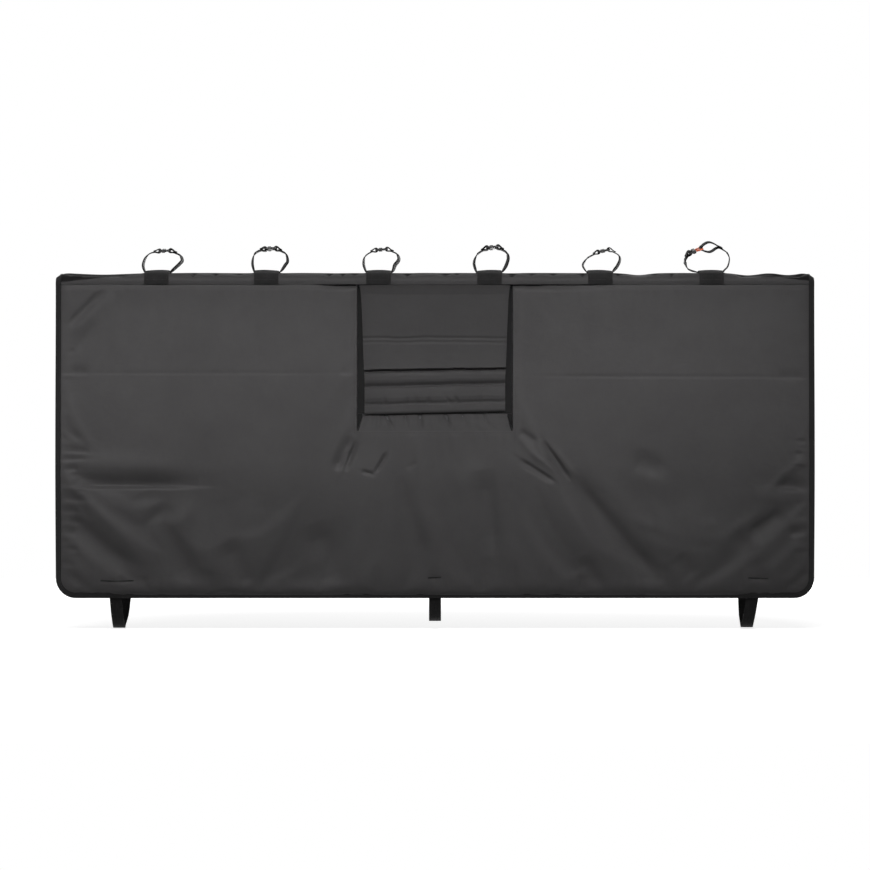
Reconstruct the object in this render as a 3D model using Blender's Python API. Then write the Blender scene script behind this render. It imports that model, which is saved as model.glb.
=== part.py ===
"""Tailgate bike pad: a padded cover that hangs over a pickup tailgate, with straps that hold six bikes.

Metres, +X across the truck, -Y towards the rear of the truck, +Z up.
The origin is the middle of the flat underside that rests on the tailgate's top edge.
Every layer follows one wrap: x runs across, s runs over the tailgate (negative down the front face,
positive down the bed side) and n is the height above the tailgate's surface.
"""

import math

import bmesh
import bpy
from mathutils import Matrix, Vector

# Tailgate that the pad hangs on
TAILGATE_THICKNESS = 0.066
TAILGATE_EDGE_RADIUS = 0.009

# Pad
PAD_LENGTH = 1.5474
FRONT_DROP = 0.6497
REAR_DROP = 0.300
CORNER_RADIUS = 0.040
LINING = 0.0012
FOAM = 0.0120
COVER = 0.0012
GAP = 0.0003
FOAM_SLACK = 0.0016
BAND_DROP = 0.0100
BAND_LIP = 0.0015
BELLY = 0.012
BELLY_DROP = 0.380
TUCK = 0.006
CROWN = 0.004
CROWN_REACH = 0.10
REAR_CROWN = 0.0015

# Bound edge
RIM_WIDTH = 0.012
RIM_HEIGHT = 0.0028
RIM_SHOULDER = 0.030
BINDING_THICKNESS = 0.0010

# Window and its access flap
WINDOW_LEFT = -0.1595
WINDOW_RIGHT = 0.1590
WINDOW_DEPTH = 0.2985
WINDOW_EDGE_DIP = 0.002
WINDOW_EDGE_REACH = 0.012
FACING = 0.0012
FACING_FLARE = 0.002
SILL_SLOPE = 0.035
SILL_FLANGE = 0.026
FLAP_THICKNESS = 0.0014
FLAP_SIDE_GAP = 0.004
FLAP_CURL = 0.0025
FLAP_CURL_REACH = 0.045
TAPE_WIDTH = 0.016
TAPE_THICKNESS = 0.0015

# Bike straps
WEBBING = 0.0016
STRAP_WIDTH = 0.025
TAB_WIDTH = 0.050
TAB_THICKNESS = 0.0014
TAB_CLEARANCE = 0.001
TAB_EASE = 0.004
BUCKLE_WIDTH = 0.032
BUCKLE_SLOT = 0.0056
BUCKLE_BAR = 0.0026
SOCKET_THICKNESS = 0.0068
PLUG_THICKNESS = 0.0034
PRONG_LENGTH = 0.0045
PRONG_WIDTH = 0.0045
EYE_RADIUS = 0.0044
SOCKET_LAP = 0.014
PLUG_LAP = 0.016
LOOSE_LAP = 0.034
LOOSE_BULGE = 0.0085
FOLD_EASE = 0.010

# Tailgate straps
TAILGATE_STRAP_WIDTH = 0.025
STRAP_LAP = 0.045
LADDER_WIDTH = 0.034
LADDER_THICKNESS = 0.004
LADDER_BAR = 0.005
LADDER_SLOT = 0.0075
LADDER_RISE = 0.052
ANCHOR_LENGTH = 0.045
TAIL_LENGTH = 0.090
TAIL_DRIFT = 0.002
LOOP_ROUND = 0.030

# Each bike strap, in millimetres from the middle of its tab and up from the pad's top: the tab's
# place along the pad, the two buckle bars, and the points that the webbing passes on each side.
BIKE_STRAPS = {
    1: {
        "middle": -568,
        "socket": (3, 45),
        "plug": (26, 46),
        "down": ((-13, 42), (-25, 31), (-30, 15)),
        "up": ((32, 7), (46, 20), (50, 27), (44, 38)),
    },
    2: {
        "middle": -344,
        "socket": (-4, 49),
        "plug": (19, 50),
        "down": ((-17, 46), (-27, 36), (-30, 19)),
        "up": ((31, 7), (37, 16), (42, 25), (37, 41)),
    },
    3: {
        "middle": -115,
        "socket": (-6, 47),
        "plug": (17, 49),
        "down": ((-18, 43), (-29, 32), (-31, 17)),
        "up": ((30, 7), (33, 16), (41, 28), (35, 41)),
    },
    4: {
        "middle": 111,
        "socket": (-5, 51),
        "plug": (18, 53),
        "down": ((-17, 45), (-27, 34), (-31, 19)),
        "up": ((30, 7), (35, 16), (39, 31), (34, 44)),
    },
    5: {
        "middle": 337,
        "socket": (-3, 43),
        "plug": (20, 48),
        "down": ((-14, 38), (-27, 28), (-34, 15)),
        "up": ((30, 6), (37, 15), (42, 28), (37, 39)),
    },
    6: {
        "middle": 564,
        "socket": (-38, 43),
        "plug": (-17, 51),
        "down": ((-47, 37), (-53, 24), (-46, 7)),
        "up": ((29, 6), (35, 14), (38, 31), (30, 45), (13, 54)),
    },
}
LOOSE_STRAP = 6

# Each tailgate strap, in millimetres: the pad's end that it is measured from and how far in it leaves
# the bottom edge, how far it swings towards the middle by the bottom of its loop and by the bed side,
# and how far the loop hangs below the edge.
TAILGATE_STRAPS = {
    "left": {"end": -1, "inset": 121, "swing_low": 5, "swing_rear": 16, "hang": 63},
    "centre": {"end": 0, "inset": 0, "swing_low": 0, "swing_rear": 0, "hang": 49},
    "right": {"end": 1, "inset": 125, "swing_low": 9, "swing_rear": 13, "hang": 62},
}

# The access flap's outer face, as places above its lower edge and heights over the tailgate: each
# fold hangs proud of the next one down.
FLAP_FOLDS = (
    (0.202, 0.0104),
    (0.155, 0.0096),
    (0.152, 0.0086),
    (0.147, 0.0094),
    (0.142, 0.0082),
    (0.136, 0.0090),
    (0.094, 0.0096),
    (0.089, 0.0100),
    (0.0875, 0.0068),
    (0.081, 0.0076),
    (0.070, 0.0092),
    (0.065, 0.0086),
    (0.0635, 0.0064),
    (0.051, 0.0072),
    (0.038, 0.0086),
    (0.024, 0.0083),
    (0.016, 0.0086),
    (0.003, 0.0088),
    (0.0, 0.0083),
)
FLAP_TOP_HEIGHT = 0.0098
FLAP_END_GAP = 0.0015

MILLIMETRE = 0.001
HALF_LENGTH = PAD_LENGTH / 2
HALF_CHANNEL = TAILGATE_THICKNESS / 2
HALF_FLAT = HALF_CHANNEL - TAILGATE_EDGE_RADIUS
BEND_SPAN = TAILGATE_EDGE_RADIUS * math.pi / 2
BEND_STEPS = 4
FOAM_BASE = LINING + GAP
SHELL = FOAM_BASE + FOAM + GAP + COVER
RIM_STEP = BINDING_THICKNESS + GAP
RIM_RAMP_END = (RIM_WIDTH + RIM_SHOULDER) / 2


def span_at(z):
    """Length over the wrap from the middle of the top down to height z."""
    return HALF_FLAT + BEND_SPAN - TAILGATE_EDGE_RADIUS - z


FRONT_SPAN = span_at(-FRONT_DROP)
REAR_SPAN = span_at(-REAR_DROP)
SEAM_SPAN = span_at(-BAND_DROP)
WINDOW_SPAN = SEAM_SPAN + WINDOW_DEPTH
BELLY_SPAN = span_at(-BELLY_DROP)
BEND_ROWS = [HALF_FLAT + BEND_SPAN * k / BEND_STEPS for k in range(BEND_STEPS + 1)]
SILL_TOP = WINDOW_SPAN - SILL_SLOPE
LOWER_STEP = (FRONT_SPAN - CORNER_RADIUS - BELLY_SPAN) / 4
UPPER_ROWS = [SEAM_SPAN + RIM_WIDTH, SEAM_SPAN + WINDOW_DEPTH / 4, SEAM_SPAN + WINDOW_DEPTH / 2, SILL_TOP]
LOWER_ROWS = [BELLY_SPAN, *(BELLY_SPAN + LOWER_STEP * k for k in (1, 2, 3, 3.7))]


def belly(s):
    """How far the hanging front stands off the tailgate: out to the belly, then tucked in below it."""
    start = HALF_FLAT + BEND_SPAN
    if -s <= start:
        return 0.0
    if -s <= BELLY_SPAN:
        share = (-s - start) / (BELLY_SPAN - start)
        return BELLY * (0.5 - 0.5 * math.cos(math.pi * share))
    share = (-s - BELLY_SPAN) / (FRONT_SPAN - BELLY_SPAN)
    return BELLY - (BELLY + TUCK) * share**1.5


def wrap(x, s, n):
    """The point at x, a length s over the wrap and a height n above the tailgate."""
    side = 1 if s > 0 else -1
    span = abs(s)
    if span <= HALF_FLAT:
        return Vector((x, s, n))
    reach = TAILGATE_EDGE_RADIUS + n
    if span <= HALF_FLAT + BEND_SPAN:
        angle = (span - HALF_FLAT) / TAILGATE_EDGE_RADIUS
        y = HALF_FLAT + reach * math.sin(angle)
        return Vector((x, side * y, -TAILGATE_EDGE_RADIUS + reach * math.cos(angle)))
    drop = span - HALF_FLAT - BEND_SPAN
    return Vector((x, side * (HALF_CHANNEL + n + belly(s)), -TAILGATE_EDGE_RADIUS - drop))


def end_span(s):
    return REAR_SPAN if s > 0 else FRONT_SPAN


def edge_distance(x, s):
    """Distance from the pad's outline, which has rounded bottom corners."""
    from_side = HALF_LENGTH - abs(x)
    from_bottom = end_span(s) - abs(s)
    if from_side < CORNER_RADIUS and from_bottom < CORNER_RADIUS:
        return CORNER_RADIUS - math.hypot(CORNER_RADIUS - from_side, CORNER_RADIUS - from_bottom)
    return min(from_side, from_bottom)


def window_distance(x, s):
    aside = max(WINDOW_LEFT - x, x - WINDOW_RIGHT, 0.0)
    below = max(-s - WINDOW_SPAN, 0.0) if s < 0 else 1.0
    return math.hypot(aside, below)


def rounding(distance, reach):
    """Rises from 0 at an edge to 1 at the given reach, as a quarter circle."""
    share = min(max(distance / reach, 0.0), 1.0)
    return math.sqrt(1 - (1 - share) ** 2)


def rim_rise(distance):
    """Share of the full height near the edge: a plain slope under the binding, then a round shoulder."""
    slope_top = rounding(RIM_WIDTH, RIM_SHOULDER)
    if distance < RIM_WIDTH:
        return slope_top * max(distance, 0.0) / RIM_WIDTH
    return rounding(distance, RIM_SHOULDER)


def rim_step(s):
    """How far the layers' bound ends are pressed up, so that the binding lies flush on the tailgate."""
    share = (abs(s) - SEAM_SPAN) / RIM_WIDTH
    return RIM_STEP * min(max(1 - share, 0.0), 1.0)


def ramp_up(distance):
    """Share of the rim's step that is left at a distance from the edge."""
    return min(max((RIM_RAMP_END - distance) / (RIM_RAMP_END - RIM_WIDTH), 0.0), 1.0)


def cover_height(x, s):
    """Height of the cover's outer face."""
    edge = edge_distance(x, s)
    window = window_distance(x, s)
    seam = abs(abs(s) - SEAM_SPAN)
    height = SHELL
    if abs(s) > SEAM_SPAN:
        nearest = min(edge, window, seam)
        crown = REAR_CROWN if s > 0 else CROWN
        height += crown * (1 - math.exp(-((nearest / CROWN_REACH) ** 2)))
        height -= WINDOW_EDGE_DIP * (1 - min(window / WINDOW_EDGE_REACH, 1.0))
        height -= BAND_LIP * (1 - min(seam / RIM_WIDTH, 1.0))
    rim = RIM_HEIGHT + rim_step(s)
    return rim + (height - rim) * rim_rise(edge)


def dress(obj, colour, roughness=0.6, metallic=0.0):
    material = bpy.data.materials.new(obj.name)
    material.use_nodes = True
    shader = material.node_tree.nodes["Principled BSDF"]
    shader.inputs["Base Color"].default_value = (*colour, 1.0)
    shader.inputs["Roughness"].default_value = roughness
    shader.inputs["Metallic"].default_value = metallic
    obj.data.materials.append(material)
    return obj


def add_mesh(name, points, faces):
    """A closed mesh with its faces pointing out."""
    mesh = bpy.data.meshes.new(name)
    mesh.from_pydata([tuple(point) for point in points], [], faces)
    shape = bmesh.new()
    shape.from_mesh(mesh)
    bmesh.ops.recalc_face_normals(shape, faces=shape.faces)
    if shape.calc_volume(signed=True) < 0:
        bmesh.ops.reverse_faces(shape, faces=shape.faces)
    shape.to_mesh(mesh)
    shape.free()
    obj = bpy.data.objects.new(name, mesh)
    bpy.context.scene.collection.objects.link(obj)
    return obj


def tube_of_rings(name, rings, closed=False):
    """A solid through rings of points, capped at both ends, or running round into itself."""
    size = len(rings[0])
    points = [point for ring in rings for point in ring]
    faces = []
    for start in range(len(rings) - (0 if closed else 1)):
        after = (start + 1) % len(rings)
        for corner in range(size):
            beside = (corner + 1) % size
            side = (start * size + corner, start * size + beside)
            faces.append((*side, after * size + beside, after * size + corner))
    if not closed:
        faces.append(tuple(range(size)))
        last = (len(rings) - 1) * size
        faces.append(tuple(last + corner for corner in range(size)))
    return add_mesh(name, points, faces)


def layer(name, rows, columns, low, high, is_cut=None):
    """A sheet over a grid: low and high give the point under and over each grid place."""
    count = len(columns)
    places = [(row, column) for row in range(len(rows)) for column in range(count)]
    points = [low(rows[row], columns[column]) for row, column in places]
    points += [high(rows[row], columns[column]) for row, column in places]
    upper = len(places)
    faces = []
    sides = {}
    for row in range(len(rows) - 1):
        for column in range(count - 1):
            middle_row = (rows[row] + rows[row + 1]) / 2
            middle_column = (columns[column] + columns[column + 1]) / 2
            if is_cut and is_cut(middle_row, middle_column):
                continue
            corners = [row * count + column, row * count + column + 1]
            corners += [(row + 1) * count + column + 1, (row + 1) * count + column]
            faces.append(tuple(reversed(corners)))
            faces.append(tuple(corner + upper for corner in corners))
            for first, second in zip(corners, corners[1:] + corners[:1]):
                if (second, first) in sides:
                    del sides[(second, first)]
                else:
                    sides[(first, second)] = True
    for first, second in sides:
        faces.append((first, second, second + upper, first + upper))
    used = sorted({corner for face in faces for corner in face})
    place_of = {corner: index for index, corner in enumerate(used)}
    faces = [tuple(place_of[corner] for corner in face) for face in faces]
    return add_mesh(name, [points[corner] for corner in used], faces)


def narrowed(x, s, inset):
    """x drawn in where the bottom corners are round, on an outline inset all round."""
    radius = CORNER_RADIUS - inset
    from_bottom = end_span(s) - inset - abs(s)
    if from_bottom >= radius:
        return x
    half = HALF_LENGTH - inset
    chord = half - radius + math.sqrt(max(radius**2 - (radius - from_bottom) ** 2, 0.0))
    return x * chord / half


def side_columns(inset):
    """Columns from the side edge to the window, closer together where the cover turns down."""
    edge = HALF_LENGTH - inset
    depths = [RIM_WIDTH, RIM_RAMP_END, RIM_SHOULDER, 3 * RIM_SHOULDER]
    return [edge, *(HALF_LENGTH - depth for depth in depths if depth > inset)]


def all_columns(inset, facing=0.0):
    outer = side_columns(inset)
    left = WINDOW_LEFT - facing
    right = WINDOW_RIGHT + facing
    near = [left - WINDOW_EDGE_REACH, left - CROWN_REACH]
    beside = [right + WINDOW_EDGE_REACH, right + CROWN_REACH]
    middle = (left + right) / 2
    wing = (HALF_LENGTH + WINDOW_RIGHT) / 2
    return sorted([-x for x in outer] + near + [left, middle, right] + beside + [*outer, -wing, wing])


def bottom_rows(span, inset):
    """Rows through the round bottom corners."""
    radius = CORNER_RADIUS - inset
    turns = [math.pi / 2 * k / 4 for k in range(5)]
    return [span - inset - radius * (1 - math.cos(turn)) for turn in turns]


def front_rows(inset, start, sill):
    rows = [start, *UPPER_ROWS, sill, WINDOW_SPAN + WINDOW_EDGE_REACH, *LOWER_ROWS]
    return sorted(-row for row in rows + bottom_rows(FRONT_SPAN, inset))


def foam_base(x, s):
    """Height of the foam's underside, chamfered along its edge where the lining rises to the rim."""
    return FOAM_BASE + RIM_STEP * ramp_up(edge_distance(x, s))


def front_panel():
    """Outer fabric of the front: two wings and the part below the window."""
    start = SEAM_SPAN + GAP / 2
    rows = front_rows(0.0, start, WINDOW_SPAN)

    def skin(depth):
        return lambda s, x: wrap(narrowed(x, s, 0.0), s, cover_height(narrowed(x, s, 0.0), s) - depth)

    def in_window(s, x):
        return -s < WINDOW_SPAN and WINDOW_LEFT < x < WINDOW_RIGHT

    panel = layer("front_panel", rows, all_columns(0.0), skin(COVER), skin(0.0), in_window)
    return dress(panel, (0.060, 0.058, 0.058), 0.55)


def front_foam():
    """Foam sheet behind the front panel, cut to the same window and stopped short of the bound edge."""
    inset = RIM_WIDTH
    sill = WINDOW_SPAN + FACING + GAP
    start = SEAM_SPAN + 2 * GAP
    aside = FACING + GAP + FACING_FLARE / 4
    rows = front_rows(inset, start, sill)

    def base(s, x):
        rise = 0.0
        if abs(-s - sill) < GAP and WINDOW_LEFT - aside * 2 < x < WINDOW_RIGHT + aside * 2:
            rise = SILL_SLOPE - 3 * FACING
        x = narrowed(x, s, inset)
        return wrap(x, s + rise, foam_base(x, s))

    def top(s, x):
        x = narrowed(x, s, inset)
        return wrap(x, s, cover_height(x, s) - COVER - FOAM_SLACK)

    def in_window(s, x):
        return -s < sill and WINDOW_LEFT - aside < x < WINDOW_RIGHT + aside

    foam = layer("front_foam", rows, all_columns(inset, aside), base, top, in_window)
    return dress(foam, (0.30, 0.31, 0.33), 0.9)


def over_the_top(limit):
    """Rows from one band seam, over both bends, to the other."""
    half = [0.0, HALF_FLAT / 2, *BEND_ROWS, limit]
    return sorted([-row for row in half[1:]] + half)


def end_columns(inset):
    outer = side_columns(inset)
    return sorted([-x for x in outer] + outer)


def top_panel():
    """Outer fabric over the tailgate's top edge, from seam to seam."""
    rows = over_the_top(SEAM_SPAN - GAP / 2)

    def skin(depth):
        return lambda s, x: wrap(x, s, cover_height(x, s) - depth)

    panel = layer("top_panel", rows, end_columns(0.0), skin(COVER), skin(0.0))
    return dress(panel, (0.055, 0.053, 0.053), 0.55)


def top_foam():
    rows = over_the_top(SEAM_SPAN - GAP)

    def base(s, x):
        return wrap(x, s, foam_base(x, s))

    def top(s, x):
        return wrap(x, s, cover_height(x, s) - COVER - GAP)

    foam = layer("top_foam", rows, end_columns(RIM_WIDTH), base, top)
    return dress(foam, (0.30, 0.31, 0.33), 0.9)


def rear_rows(inset, start):
    rows = [start, SEAM_SPAN + RIM_WIDTH, (SEAM_SPAN + REAR_SPAN) / 2, REAR_SPAN - 1.8 * CORNER_RADIUS]
    return sorted(rows + bottom_rows(REAR_SPAN, inset))


def rear_panel():
    """Outer fabric of the short drop on the bed side."""
    rows = rear_rows(0.0, SEAM_SPAN + GAP / 2)

    def skin(depth):
        return lambda s, x: wrap(narrowed(x, s, 0.0), s, cover_height(narrowed(x, s, 0.0), s) - depth)

    panel = layer("rear_panel", rows, end_columns(0.0), skin(COVER), skin(0.0))
    return dress(panel, (0.060, 0.058, 0.058), 0.55)


def rear_foam():
    inset = RIM_WIDTH
    rows = rear_rows(inset, SEAM_SPAN + 2 * GAP)

    def base(s, x):
        x = narrowed(x, s, inset)
        return wrap(x, s, foam_base(x, s))

    def top(s, x):
        x = narrowed(x, s, inset)
        return wrap(x, s, cover_height(x, s) - COVER - FOAM_SLACK)

    foam = layer("rear_foam", rows, end_columns(inset), base, top)
    return dress(foam, (0.30, 0.31, 0.33), 0.9)


def lining():
    """Soft sheet against the tailgate's paint, in one piece over the top, with the window cut out."""
    left = WINDOW_LEFT + FACING_FLARE
    right = WINDOW_RIGHT - FACING_FLARE
    front = [SEAM_SPAN, *UPPER_ROWS, WINDOW_SPAN, WINDOW_SPAN + WINDOW_EDGE_REACH, *LOWER_ROWS]
    front += bottom_rows(FRONT_SPAN, 0.0)
    rear = [SEAM_SPAN, SEAM_SPAN + RIM_WIDTH, *bottom_rows(REAR_SPAN, 0.0)]
    rows = sorted([-row for row in front + BEND_ROWS] + BEND_ROWS + rear)
    edge = side_columns(0.0)[:3]
    columns = sorted([*edge, left, right, *(-x for x in edge)])

    def face(n):
        def place(s, x):
            step = rim_step(s) * ramp_up(HALF_LENGTH - abs(x))
            return wrap(narrowed(x, s, 0.0), s, n + step)

        return place

    def in_window(s, x):
        return SEAM_SPAN < -s < SILL_TOP and left < x < right

    sheet = layer("lining", rows, columns, face(0.0), face(LINING), in_window)
    return dress(sheet, (0.09, 0.09, 0.095), 0.95)


def outline_stations():
    """Places along the pad's outline, with the direction pointing into the pad at each."""
    stations = []
    turns = [math.pi / 2 * k / 4 for k in range(5)]
    front = [*BEND_ROWS, SEAM_SPAN, *UPPER_ROWS, WINDOW_SPAN, WINDOW_SPAN + WINDOW_EDGE_REACH, *LOWER_ROWS]
    rear = [*BEND_ROWS, SEAM_SPAN, SEAM_SPAN + RIM_WIDTH]
    straight = sorted([-row for row in front] + rear)
    centre_x = HALF_LENGTH - CORNER_RADIUS
    for s in straight:
        stations.append((HALF_LENGTH, s, -1.0, 0.0))
    for turn in turns:
        x = centre_x + CORNER_RADIUS * math.cos(turn)
        s = REAR_SPAN - CORNER_RADIUS * (1 - math.sin(turn))
        stations.append((x, s, -math.cos(turn), -math.sin(turn)))
    for turn in reversed(turns):
        x = -centre_x - CORNER_RADIUS * math.cos(turn)
        s = REAR_SPAN - CORNER_RADIUS * (1 - math.sin(turn))
        stations.append((x, s, math.cos(turn), -math.sin(turn)))
    for s in reversed(straight):
        stations.append((-HALF_LENGTH, s, 1.0, 0.0))
    for turn in turns:
        x = -centre_x - CORNER_RADIUS * math.cos(turn)
        s = -FRONT_SPAN + CORNER_RADIUS * (1 - math.sin(turn))
        stations.append((x, s, math.cos(turn), math.sin(turn)))
    for turn in reversed(turns):
        x = centre_x + CORNER_RADIUS * math.cos(turn)
        s = -FRONT_SPAN + CORNER_RADIUS * (1 - math.sin(turn))
        stations.append((x, s, -math.cos(turn), math.sin(turn)))
    return stations


def edge_binding():
    """Woven tape folded over the raw edge of all the layers, all the way round."""
    leg = RIM_WIDTH - BINDING_THICKNESS
    back = -GAP - BINDING_THICKNESS

    def fold(step):
        """The tape's section, as depths into the pad and heights, inner side first."""
        rim = RIM_HEIGHT + step
        near = rim + 2 * GAP
        far = near + (SHELL - rim) * rounding(RIM_WIDTH, RIM_SHOULDER) / RIM_WIDTH * leg
        section = [(leg, far), (0.0, near), (-GAP, rim), (-GAP, step - GAP), (leg, step - GAP)]
        section += [(leg, step + back), (back, step + back), (back, rim)]
        return [*section, (0.0, near + BINDING_THICKNESS), (leg, far + BINDING_THICKNESS)]

    rings = []
    for x, s, into_x, into_s in outline_stations():
        section = fold(rim_step(s))
        rings.append([wrap(x + into_x * depth, s + into_s * depth, n) for depth, n in section])
    return dress(tube_of_rings("edge_binding", rings, closed=True), (0.028, 0.027, 0.028), 0.7)


def window_facing():
    """Fabric that closes the foam's edge round the window: two upright sides and a sloping sill."""
    upright = [SEAM_SPAN + GAP, *UPPER_ROWS[:-1], SILL_TOP - SILL_SLOPE / 8]
    places = [(WINDOW_LEFT, 1, row) for row in [*upright, WINDOW_SPAN]]
    places += [(WINDOW_RIGHT, -1, row) for row in [WINDOW_SPAN, *reversed(upright)]]
    rings = []
    for edge, toward, row in places:
        at_sill = row == WINDOW_SPAN
        low = SILL_TOP if at_sill else row
        thick = FACING if at_sill else 0.0
        under_cover = cover_height(edge, -row) - COVER - GAP
        back_x = edge + toward * FACING_FLARE
        rings.append(
            [
                wrap(edge, -row, under_cover),
                wrap(edge - toward * FACING, -row - thick, under_cover),
                wrap(back_x - toward * FACING, -low - thick, FOAM_BASE),
                wrap(back_x, -low, FOAM_BASE),
            ]
        )
    return dress(tube_of_rings("window_facing", rings), (0.045, 0.043, 0.043), 0.6)


def flap_heights():
    """Height of the flap's outer face at each place along the wrap."""
    lower_edge = SILL_TOP - FLAP_END_GAP
    heights = {-(lower_edge - rise): height for rise, height in FLAP_FOLDS}
    heights[-(SEAM_SPAN + GAP)] = FLAP_TOP_HEIGHT
    return heights


def access_flap():
    """Pleated fabric flap that hangs from the band seam and covers the window."""
    left = WINDOW_LEFT + FACING_FLARE + FLAP_SIDE_GAP
    right = WINDOW_RIGHT - FACING_FLARE - FLAP_SIDE_GAP
    middle = (left + right) / 2
    half = (right - left) / 2
    height_at = flap_heights()
    reach = FLAP_CURL_REACH
    columns = [left, left + reach / 4, left + reach, middle, right - reach, right - reach / 4, right]

    def face(depth):
        def place(s, x):
            curl = FLAP_CURL * (abs(x - middle) / half) ** 6
            return wrap(x, s, height_at[s] - curl - depth)

        return place

    flap = layer("access_flap", sorted(height_at), columns, face(FLAP_THICKNESS), face(0.0))
    return dress(flap, (0.050, 0.048, 0.049), 0.6)


def flap_tapes():
    """Hook tape on the flange below the flap, and loop tape on the flap's back."""
    left = WINDOW_LEFT + FACING_FLARE + FLAP_SIDE_GAP + FLAP_CURL_REACH + GAP
    right = WINDOW_RIGHT - FACING_FLARE - FLAP_SIDE_GAP - FLAP_CURL_REACH - GAP
    low = SILL_TOP - FLAP_END_GAP - GAP
    high = low - TAPE_WIDTH
    base = FOAM_BASE + FACING + GAP
    for name, bottom in (("flap_hook_tape", base), ("flap_loop_tape", base + TAPE_THICKNESS + GAP)):

        def face(n):
            return lambda s, x: wrap(x, s, n)

        tape = layer(name, [-low, -high], [left, right], face(bottom), face(bottom + TAPE_THICKNESS))
        dress(tape, (0.02, 0.02, 0.02), 0.95)


def sill_flange():
    """Flat strip behind the flap's lower edge, sewn to the top of the sill, that carries the hook tape."""
    left = WINDOW_LEFT + FACING_FLARE + GAP
    right = WINDOW_RIGHT - FACING_FLARE - GAP
    low = SILL_TOP - GAP
    high = low - SILL_FLANGE

    def face(n):
        return lambda s, x: wrap(x, s, n)

    strip = layer("sill_flange", [-low, -high], [left, right], face(FOAM_BASE), face(FOAM_BASE + FACING))
    return dress(strip, (0.045, 0.043, 0.043), 0.6)


def strap_tab(index, middle):
    """Wide webbing sewn over the top from seam to seam, with a tunnel that the bike strap passes through."""
    tunnel = STRAP_WIDTH / 2 + TAB_CLEARANCE
    half = [0.0, tunnel, tunnel + TAB_EASE, *BEND_ROWS, SEAM_SPAN - GAP]
    rows = sorted([-row for row in half[1:]] + half)

    def face(depth):
        def place(s, x):
            raised = WEBBING + GAP if abs(s) <= tunnel else 0.0
            return wrap(x, s, SHELL + GAP + raised + depth)

        return place

    columns = [middle - TAB_WIDTH / 2, middle + TAB_WIDTH / 2]
    tab = layer(f"strap_tab_{index}", rows, columns, face(0.0), face(TAB_THICKNESS))
    return dress(tab, (0.022, 0.021, 0.022), 0.75)


def smooth(points, steps):
    """A curve through the points, with the end points repeated, in the given steps per stretch."""
    padded = [points[0], *points, points[-1]]
    curve = []
    for first, second, third, fourth in zip(padded, padded[1:], padded[2:], padded[3:]):
        for k in range(steps):
            t = k / steps
            turn = (third - first) * t + (2 * first - 5 * second + 4 * third - fourth) * t**2
            turn += (3 * second - first - 3 * third + fourth) * t**3
            curve.append(second + turn / 2)
    return [*curve, points[-1]]


def ribbon(name, path, across, width, thickness):
    """Flat webbing along a path, its width along one axis."""
    rings = []
    for index, point in enumerate(path):
        before = path[max(index - 1, 0)]
        after = path[min(index + 1, len(path) - 1)]
        arriving = (point - before).normalized() if index else (after - point).normalized()
        leaving = (after - point).normalized() if index < len(path) - 1 else arriving
        normal = (arriving + leaving).cross(across).normalized()
        square = arriving.cross(across).normalized()
        reach = thickness / 2 / max(normal.dot(square), 0.5)
        side = across * width / 2
        rings.append([point - normal * reach - side, point + normal * reach - side])
        rings[-1] += [point + normal * reach + side, point - normal * reach + side]
    return tube_of_rings(name, rings)


def eye(bar, curve, radius, lap, inside, bulge=0.0):
    """The webbing's fold round a buckle bar: the tail back along the strand, then round the bar.

    It returns the whole folded stretch and how many points of the strand it took up.
    """
    spacing = (WEBBING + GAP) / 2
    taper = 2.6 * radius
    outward = (curve[1] - curve[0]).normalized()
    normals = []
    for index, point in enumerate(curve):
        ahead = curve[min(index + 1, len(curve) - 1)] - curve[max(index - 1, 0)]
        normals.append(ahead.normalized().cross(Vector((0, inside, 0))))
    strand, tail = [], []
    used = 0
    for index, point in enumerate(curve):
        along = (point - bar).length
        if along > lap + FOLD_EASE:
            break
        used = index + 1
        share = min(along / taper, 1.0)
        offset = spacing + (radius - spacing) * (0.5 + 0.5 * math.cos(math.pi * share))
        offset += bulge * math.sin(math.pi * min(along / lap, 1.0))
        if along > lap:
            offset *= max(0.0, 1 - (along - lap) / FOLD_EASE)
        if index:
            strand.append(point + normals[index] * offset)
            if along <= lap:
                tail.append(point - normals[index] * offset)
    side = outward.cross(Vector((0, inside, 0)))
    turns = [math.pi * k / 6 for k in range(7)]
    around = [bar - side * radius * math.cos(turn) - outward * radius * math.sin(turn) for turn in turns]
    return [*reversed(tail), *around, *strand], used


def strap_path(strap):
    """The bike strap from the socket's bar, down, through its tab, and up to the plug's bar."""
    middle = strap["middle"] * MILLIMETRE

    def point(place):
        return Vector((middle + place[0] * MILLIMETRE, 0.0, SHELL + place[1] * MILLIMETRE))

    level = SHELL + GAP + WEBBING / 2
    reach = TAB_WIDTH / 2 + TAB_CLEARANCE
    base_left = Vector((middle - reach, 0.0, level))
    base_right = Vector((middle + reach, 0.0, level))
    socket_bar = point(strap["socket"])
    plug_bar = point(strap["plug"])
    down = smooth([socket_bar, *(point(place) for place in strap["down"]), base_left], 4)
    up = smooth([base_right, *(point(place) for place in strap["up"]), plug_bar], 4)
    return down, up, socket_bar, plug_bar


def bike_strap(index, strap, plug_lap, bulge):
    """One length of webbing, folded and sewn round both buckle bars, that runs through its tab's tunnel."""
    down, up, socket_bar, plug_bar = strap_path(strap)
    first, used = eye(socket_bar, down, EYE_RADIUS, SOCKET_LAP, 1)
    start = [*first, *down[used:]]
    climb = list(reversed(up))
    last, taken = eye(plug_bar, climb, EYE_RADIUS, plug_lap, -1, bulge)
    finish = list(reversed([*last, *climb[taken:]]))
    webbing = ribbon(f"bike_strap_{index}", [*start, *finish], Vector((0, 1, 0)), STRAP_WIDTH, WEBBING)
    return dress(webbing, (0.014, 0.014, 0.015), 0.8)


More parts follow.
